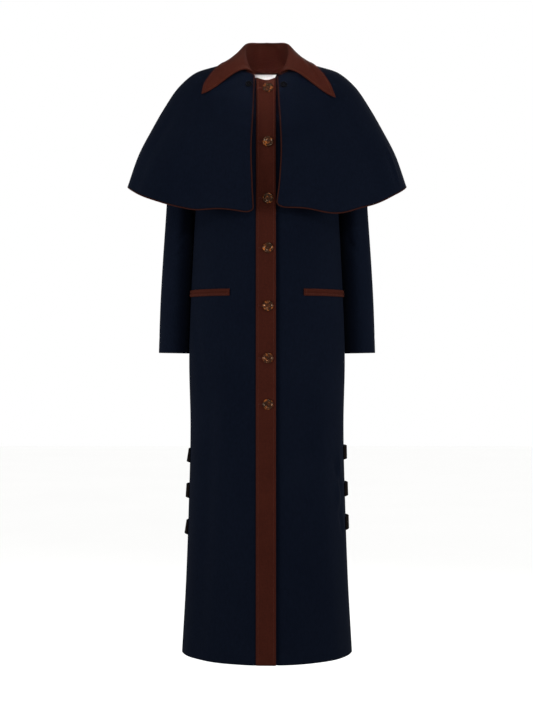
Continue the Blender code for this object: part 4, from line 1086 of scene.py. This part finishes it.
def stitchTree():  # capsules of thread set along every path in the mesh
    tree = bpy.data.node_groups.new("runningStitch", "GeometryNodeTree")
    for name, kind in (("Geometry", "Geometry"), ("Pitch", "Float"), ("Stitch Length", "Float"),
                       ("Thread Radius", "Float"), ("Uneven", "Float"), ("Seed", "Int"), ("Thread", "Material")):
        tree.interface.new_socket(name, in_out="INPUT", socket_type="NodeSocket" + kind)
    tree.interface.new_socket("Geometry", in_out="OUTPUT", socket_type="NodeSocketGeometry")
    given = addNode(tree, "NodeGroupInput")
    curve = addNode(tree, "GeometryNodeMeshToCurve", inputs={"Mesh": given.outputs["Geometry"]})
    spaced = addNode(tree, "GeometryNodeResampleCurve", {"mode": "LENGTH"}, {
        "Curve": curve.outputs[0], "Length": given.outputs["Pitch"]})
    tangent = addNode(tree, "GeometryNodeInputTangent")
    aim = addNode(tree, "FunctionNodeAlignRotationToVector", {"axis": "X"}, {"Vector": tangent.outputs[0]})
    bead = addNode(tree, "GeometryNodeMeshUVSphere", inputs={"Segments": 6, "Rings": 5, "Radius": 1.0})
    half = addNode(tree, "ShaderNodeMath", {"operation": "MULTIPLY"}, {0: given.outputs["Stitch Length"], 1: 0.5})
    size = addNode(tree, "ShaderNodeCombineXYZ", inputs={
        "X": half.outputs[0], "Y": given.outputs["Thread Radius"], "Z": given.outputs["Thread Radius"]})
    least = addNode(tree, "ShaderNodeMath", {"operation": "SUBTRACT"}, {0: 1.0, 1: given.outputs["Uneven"]})
    most = addNode(tree, "ShaderNodeMath", {"operation": "ADD"}, {0: 1.0, 1: given.outputs["Uneven"]})
    vary = addNode(tree, "FunctionNodeRandomValue", {"data_type": "FLOAT"}, {
        2: least.outputs[0], 3: most.outputs[0], "Seed": given.outputs["Seed"]})
    scale = addNode(tree, "ShaderNodeVectorMath", {"operation": "SCALE"}, {
        0: size.outputs[0], "Scale": vary.outputs[1]})
    placed = addNode(tree, "GeometryNodeInstanceOnPoints", inputs={
        "Points": spaced.outputs[0], "Instance": bead.outputs[0], "Rotation": aim.outputs[0],
        "Scale": scale.outputs[0]})
    real = addNode(tree, "GeometryNodeRealizeInstances", inputs={"Geometry": placed.outputs[0]})
    smooth = addNode(tree, "GeometryNodeSetShadeSmooth", inputs={"Geometry": real.outputs[0]})
    worn = addNode(tree, "GeometryNodeSetMaterial", inputs={
        "Geometry": smooth.outputs[0], "Material": given.outputs["Thread"]})
    addNode(tree, "NodeGroupOutput", inputs={"Geometry": worn.outputs[0]})
    return tree


runningStitch = stitchTree()


def sew(name, paths, thread, **changes):  # paths become rows of stitches in one plain mesh
    points = np.concatenate(paths)
    edges = []
    start = 0
    for path in paths:
        edges += [(start + k, start + k + 1) for k in range(len(path) - 1)]
        start += len(path)
    guide = bpy.data.meshes.new(name + "Guide")
    guide.from_pydata(points.tolist(), edges, [])
    holder = bpy.data.objects.new(name + "Guide", guide)
    bpy.context.scene.collection.objects.link(holder)
    modifier = holder.modifiers.new("sewing", "NODES")
    modifier.node_group = runningStitch
    values = dict(sewing, **changes)
    wanted = {"Pitch": values["pitch"], "Stitch Length": values["length"], "Thread Radius": values["radius"],
              "Uneven": values["uneven"], "Seed": values["seed"], "Thread": thread}
    for item in runningStitch.interface.items_tree:
        if item.in_out == "INPUT" and item.name in wanted:
            modifier[item.identifier] = wanted[item.name]
    ready = holder.evaluated_get(bpy.context.evaluated_depsgraph_get())
    mesh = bpy.data.meshes.new_from_object(ready)
    mesh.name = name
    holder.modifiers.clear()
    bpy.data.objects.remove(holder)
    stitches = bpy.data.objects.new(name, mesh)
    bpy.context.scene.collection.objects.link(stitches)
    return stitches


def panelPath(angleOf, u, rows, lift, above):  # a line on a panel's face, a thread's half above it
    u = np.broadcast_to(np.asarray(u, float), np.shape(rows))
    angle = angleOf(u, rows)
    z = rowHeight(angle, rows)
    face = bodyPoint(angle, z)
    raised = lift(u, rows, face) + coatLift(angle, z) + above
    return face + surfaceNormals(bodyPoint, angle, z) * raised[..., None]


above = sewing["radius"] * sewing["proud"]
bandWidth = buttonBand["edgeX"] - buttonBand["seamX"]
bandRows = panelRows(sewing["bandRows"])[2:-2]
inset = sewing["edge"] / bandWidth
brownPaths = [panelPath(bandAngle, u, bandRows, bandPlump, above) for u in (inset, 1 - inset)]
low, high = (lowerRow(welts["z"] + welts["height"] * s) for s in (-sewing["weltHeight"], sewing["weltHeight"]))
run, rise = sewing["weltPoints"]
for angleOf, reach in ((frontRightAngle, welts["reachRight"]), (frontLeftAngle, welts["reachLeft"])):
    us = np.linspace(welts["start"] + sewing["weltInset"], reach - sewing["weltInset"], run)
    us = 1 - us if angleOf is frontLeftAngle else us
    brownPaths.append(panelPath(angleOf, us, np.full(run, low), weltPlump, above))
    for end in (us[0], us[-1]):
        brownPaths.append(panelPath(angleOf, end, np.linspace(low, high, rise), weltPlump, above))
fall, run = sewing["leafPoints"]
start, edge = sewing["leafStart"], sewing["leafEdge"]
front, point = sewing["leafFront"], sewing["leafCorner"]
leafU = np.concatenate([np.full(fall, front), np.linspace(point, 1 - point, run), np.full(fall, 1 - front)])
leafV = np.concatenate([np.linspace(start, edge, fall), np.full(run, edge), np.linspace(edge, start, fall)])
leafRise = leafLift(leafU, leafV) + above
brownPaths.append(leafPoint(leafU, leafV) + leafNormal(leafU, leafV) * leafRise[:, None])
brownStitches = sew("brownStitches", brownPaths, brownThread)

buttonholes = {"from": 0.0050, "to": -0.0195, "halfGap": 0.0011, "points": 40, "above": 0.0001}
holeSewing = {"pitch": 0.00075, "length": 0.0009, "radius": 0.00036, "seed": 9}


def bandPath(x, z, above):
    row = np.where(z < coatBody["armpit"], lowerRow(z), 1.0)
    angle = np.arcsin(x / readTable(coatBody, "z", "halfWidth", z))
    u = (x - buttonBand["seamX"]) / bandWidth
    face = bodyPoint(angle, z)
    raised = bandPlump(u, row, face) + coatLift(angle, z) + above
    return face + surfaceNormals(bodyPoint, angle, z) * raised[..., None]


holePaths = []
x = np.linspace(buttonholes["from"], buttonholes["to"], buttonholes["points"])
for z in buttons["heights"]:
    for offset in (-1, 1):
        holePaths.append(bandPath(x, np.full(len(x), z + offset * buttonholes["halfGap"]), buttonholes["above"]))
holeStitches = sew("buttonholeStitches", holePaths, brownThread, **holeSewing)
print("sewing made")

# What each piece stands for, and how its cloth was cut

coat = ["frontRight", "frontLeft", "backPanel"]
shoulders = coat + ["sleeveRight", "sleeveLeft"]
capeAll = ["capeRight", "capeLeft", "capeBack"]
navy, brown = "navy_cloth", "brown_trim"
# piece, solid, slot, flat width and length, area of the shaped cut inside them, how it is held and on what
cloths = [
    (coatPieces["frontRight"], "front_right", navy, (0.265, 1.515), 0.306, "hung", ["backPanel"]),
    (coatPieces["frontLeft"], "front_left", navy, (0.300, 1.515), 0.353, "hung", ["backPanel"]),
    (coatPieces["backPanel"], "back", navy, (0.575, 1.505), 0.662, "hung", ["frontRight", "frontLeft"]),
    (coatPieces["frontBand"], "front_band", brown, (0.048, 1.340), None, "laid", ["frontRight", "frontLeft"]),
    (sleevePieces["sleeveRight"], "sleeve_right", navy, (0.520, 0.650), 0.176, "hung", ["frontRight", "backPanel"]),
    (sleevePieces["sleeveLeft"], "sleeve_left", navy, (0.520, 0.650), 0.176, "hung", ["frontLeft", "backPanel"]),
    (collarStand, "collar_stand", brown, (0.405, 0.080), 0.0155, "folded", coat),
    (collarLeaf, "collar_leaf", brown, (0.620, 0.160), 0.0411, "folded", ["collarStand"] + capeAll),
    (capePieces["right"], "cape_front_right", navy, (0.390, 0.425), 0.1045, "draped", shoulders),
    (capePieces["left"], "cape_front_left", navy, (0.400, 0.425), 0.1066, "draped", shoulders),
    (capePieces["back"], "cape_back", navy, (0.820, 0.425), 0.2237, "draped", shoulders),
    (bindings["right"], "cape_binding_front_right", brown, (0.010, 0.760), 0.0045, "folded", ["capeRight"]),
    (bindings["left"], "cape_binding_front_left", brown, (0.010, 0.760), 0.0045, "folded", ["capeLeft"]),
    (bindings["back"], "cape_binding_back", brown, (0.010, 0.860), 0.0050, "folded", ["capeBack"]),
    (weltPieces["pocketWeltRight"], "pocket_welt_right", brown, (0.153, 0.0168), None, "laid", ["frontRight"]),
    (weltPieces["pocketWeltLeft"], "pocket_welt_left", brown, (0.153, 0.0168), None, "laid", ["frontLeft"]),
    (neckLabel, "label", "white_label", (0.055, 0.0215), 0.0009, "laid", ["backPanel"]),
]
for number in (1, 2, 3):
    for side, flat in (("Right", (0.083, 0.0303)), ("Left", (0.086, 0.0303))):
        piece, node = tabPieces[f"sideTab{side}{number}"], f"side_tab_{side.lower()}_{number}"
        cloths.append((piece, node, "tab_cloth", flat, None, "laid", ["front" + side, "backPanel"]))
standIns = [cloth[:3] for cloth in cloths]
standIns += [(buttonPieces[f"button{number}"][0], f"button_{number}", "tortoiseshell") for number in range(1, 8)]
standIns += [(buttonPieces["capeButtonRight"][0], "cape_button_right", "black_button"),
             (buttonPieces["capeButtonLeft"][0], "cape_button_left", "black_button")]
for piece, node, slot in standIns:
    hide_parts(node)
    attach(piece, "root")
threads = [(bars, navy if name.startswith("cape") else brown) for name, (_, bars) in buttonPieces.items()]
for piece, slot in threads + [(brownStitches, brown), (holeStitches, brown)]:
    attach(piece, "root")

# Camera, floor and light

view = {"place": (-0.0012, -3.4, -0.6753), "sensor": 36, "focal": 1450 / 702 * 36}  # 1450 pixels on a frame 702 high
camera = bpy.data.objects.new("camera", bpy.data.cameras.new("camera"))
camera.location = view["place"]
camera.rotation_euler = (np.pi / 2, 0, 0)
camera.data.lens = view["focal"]
camera.data.sensor_width = view["sensor"]
bpy.context.scene.collection.objects.link(camera)
bpy.context.scene.camera = camera

studio = {"floorZ": -1.95, "half": 16.0, "dark": "#fbfbfa", "light": "#fefefd", "mottle": 0.8, "air": 1.0}


def paperFloor():  # seamless pale paper, well below the hem as the coat hangs free
    half, z = studio["half"], studio["floorZ"]
    material, tree, shader = newMaterial("matPaper", {"Roughness": 0.9, "Specular IOR Level": 0.1})
    place = addNode(tree, "ShaderNodeTexCoord")
    grain = addNode(tree, "ShaderNodeTexNoise", inputs={
        "Vector": place.outputs["Object"], "Scale": 1 / studio["mottle"]})
    tone = addNode(tree, "ShaderNodeMix", {"data_type": "RGBA"}, {
        "Factor": grain.outputs["Fac"], 6: linear(studio["dark"]), 7: linear(studio["light"])})
    tree.links.new(tone.outputs[2], shader.inputs["Base Color"])
    corners = [(-half, -half, z), (half, -half, z), (half, half, z), (-half, half, z)]
    addPiece("paperFloor", corners, [(0, 1, 2, 3)], material)


paperFloor()

# gridded panels at both sides leave inner corners and the coat's foot darker, and a small one reaches into the neck
lamps = [
    {"name": "leftPanel", "place": (-3.4, -1.7, -0.3), "aim": (0, 0, -0.35), "size": 1.4, "watts": 8.8,
     "spread": 0.8},
    {"name": "rightPanel", "place": (3.4, -1.7, -0.3), "aim": (0, 0, -0.35), "size": 1.4, "watts": 8.8,
     "spread": 0.8},
    {"name": "frontPanel", "place": (0.45, -3.5, 0.75), "aim": (0, 0, -0.2), "size": 0.42, "watts": 30},
    {"name": "neckPanel", "place": (0.1, -3.2, -0.1), "aim": (0, 0.05, -0.01), "size": 0.12, "watts": 0.15,
     "spread": 0.10},
    {"name": "rearPanel", "place": (1.2, 3.0, 1.6), "aim": (0, 0, -0.4), "size": 1.6, "watts": 60},
]
for lamp in lamps:
    data = bpy.data.lights.new(lamp["name"], "AREA")
    data.shape = "SQUARE"
    data.size = lamp["size"]
    data.energy = lamp["watts"]
    data.spread = lamp.get("spread", np.pi)
    light = bpy.data.objects.new(lamp["name"], data)
    light.location = lamp["place"]
    light.rotation_euler = (Vector(lamp["aim"]) - Vector(lamp["place"])).to_track_quat("-Z", "Y").to_euler()
    bpy.context.scene.collection.objects.link(light)
world = bpy.data.worlds.new("studioAir")
world.use_nodes = True
world.node_tree.nodes["Background"].inputs["Color"].default_value = (1, 1, 1, 1)
world.node_tree.nodes["Background"].inputs["Strength"].default_value = studio["air"]
bpy.context.scene.world = world
bpy.context.scene.view_settings.view_transform = "Standard"
bpy.context.scene.view_settings.look = "None"
print("camera, floor and light made")
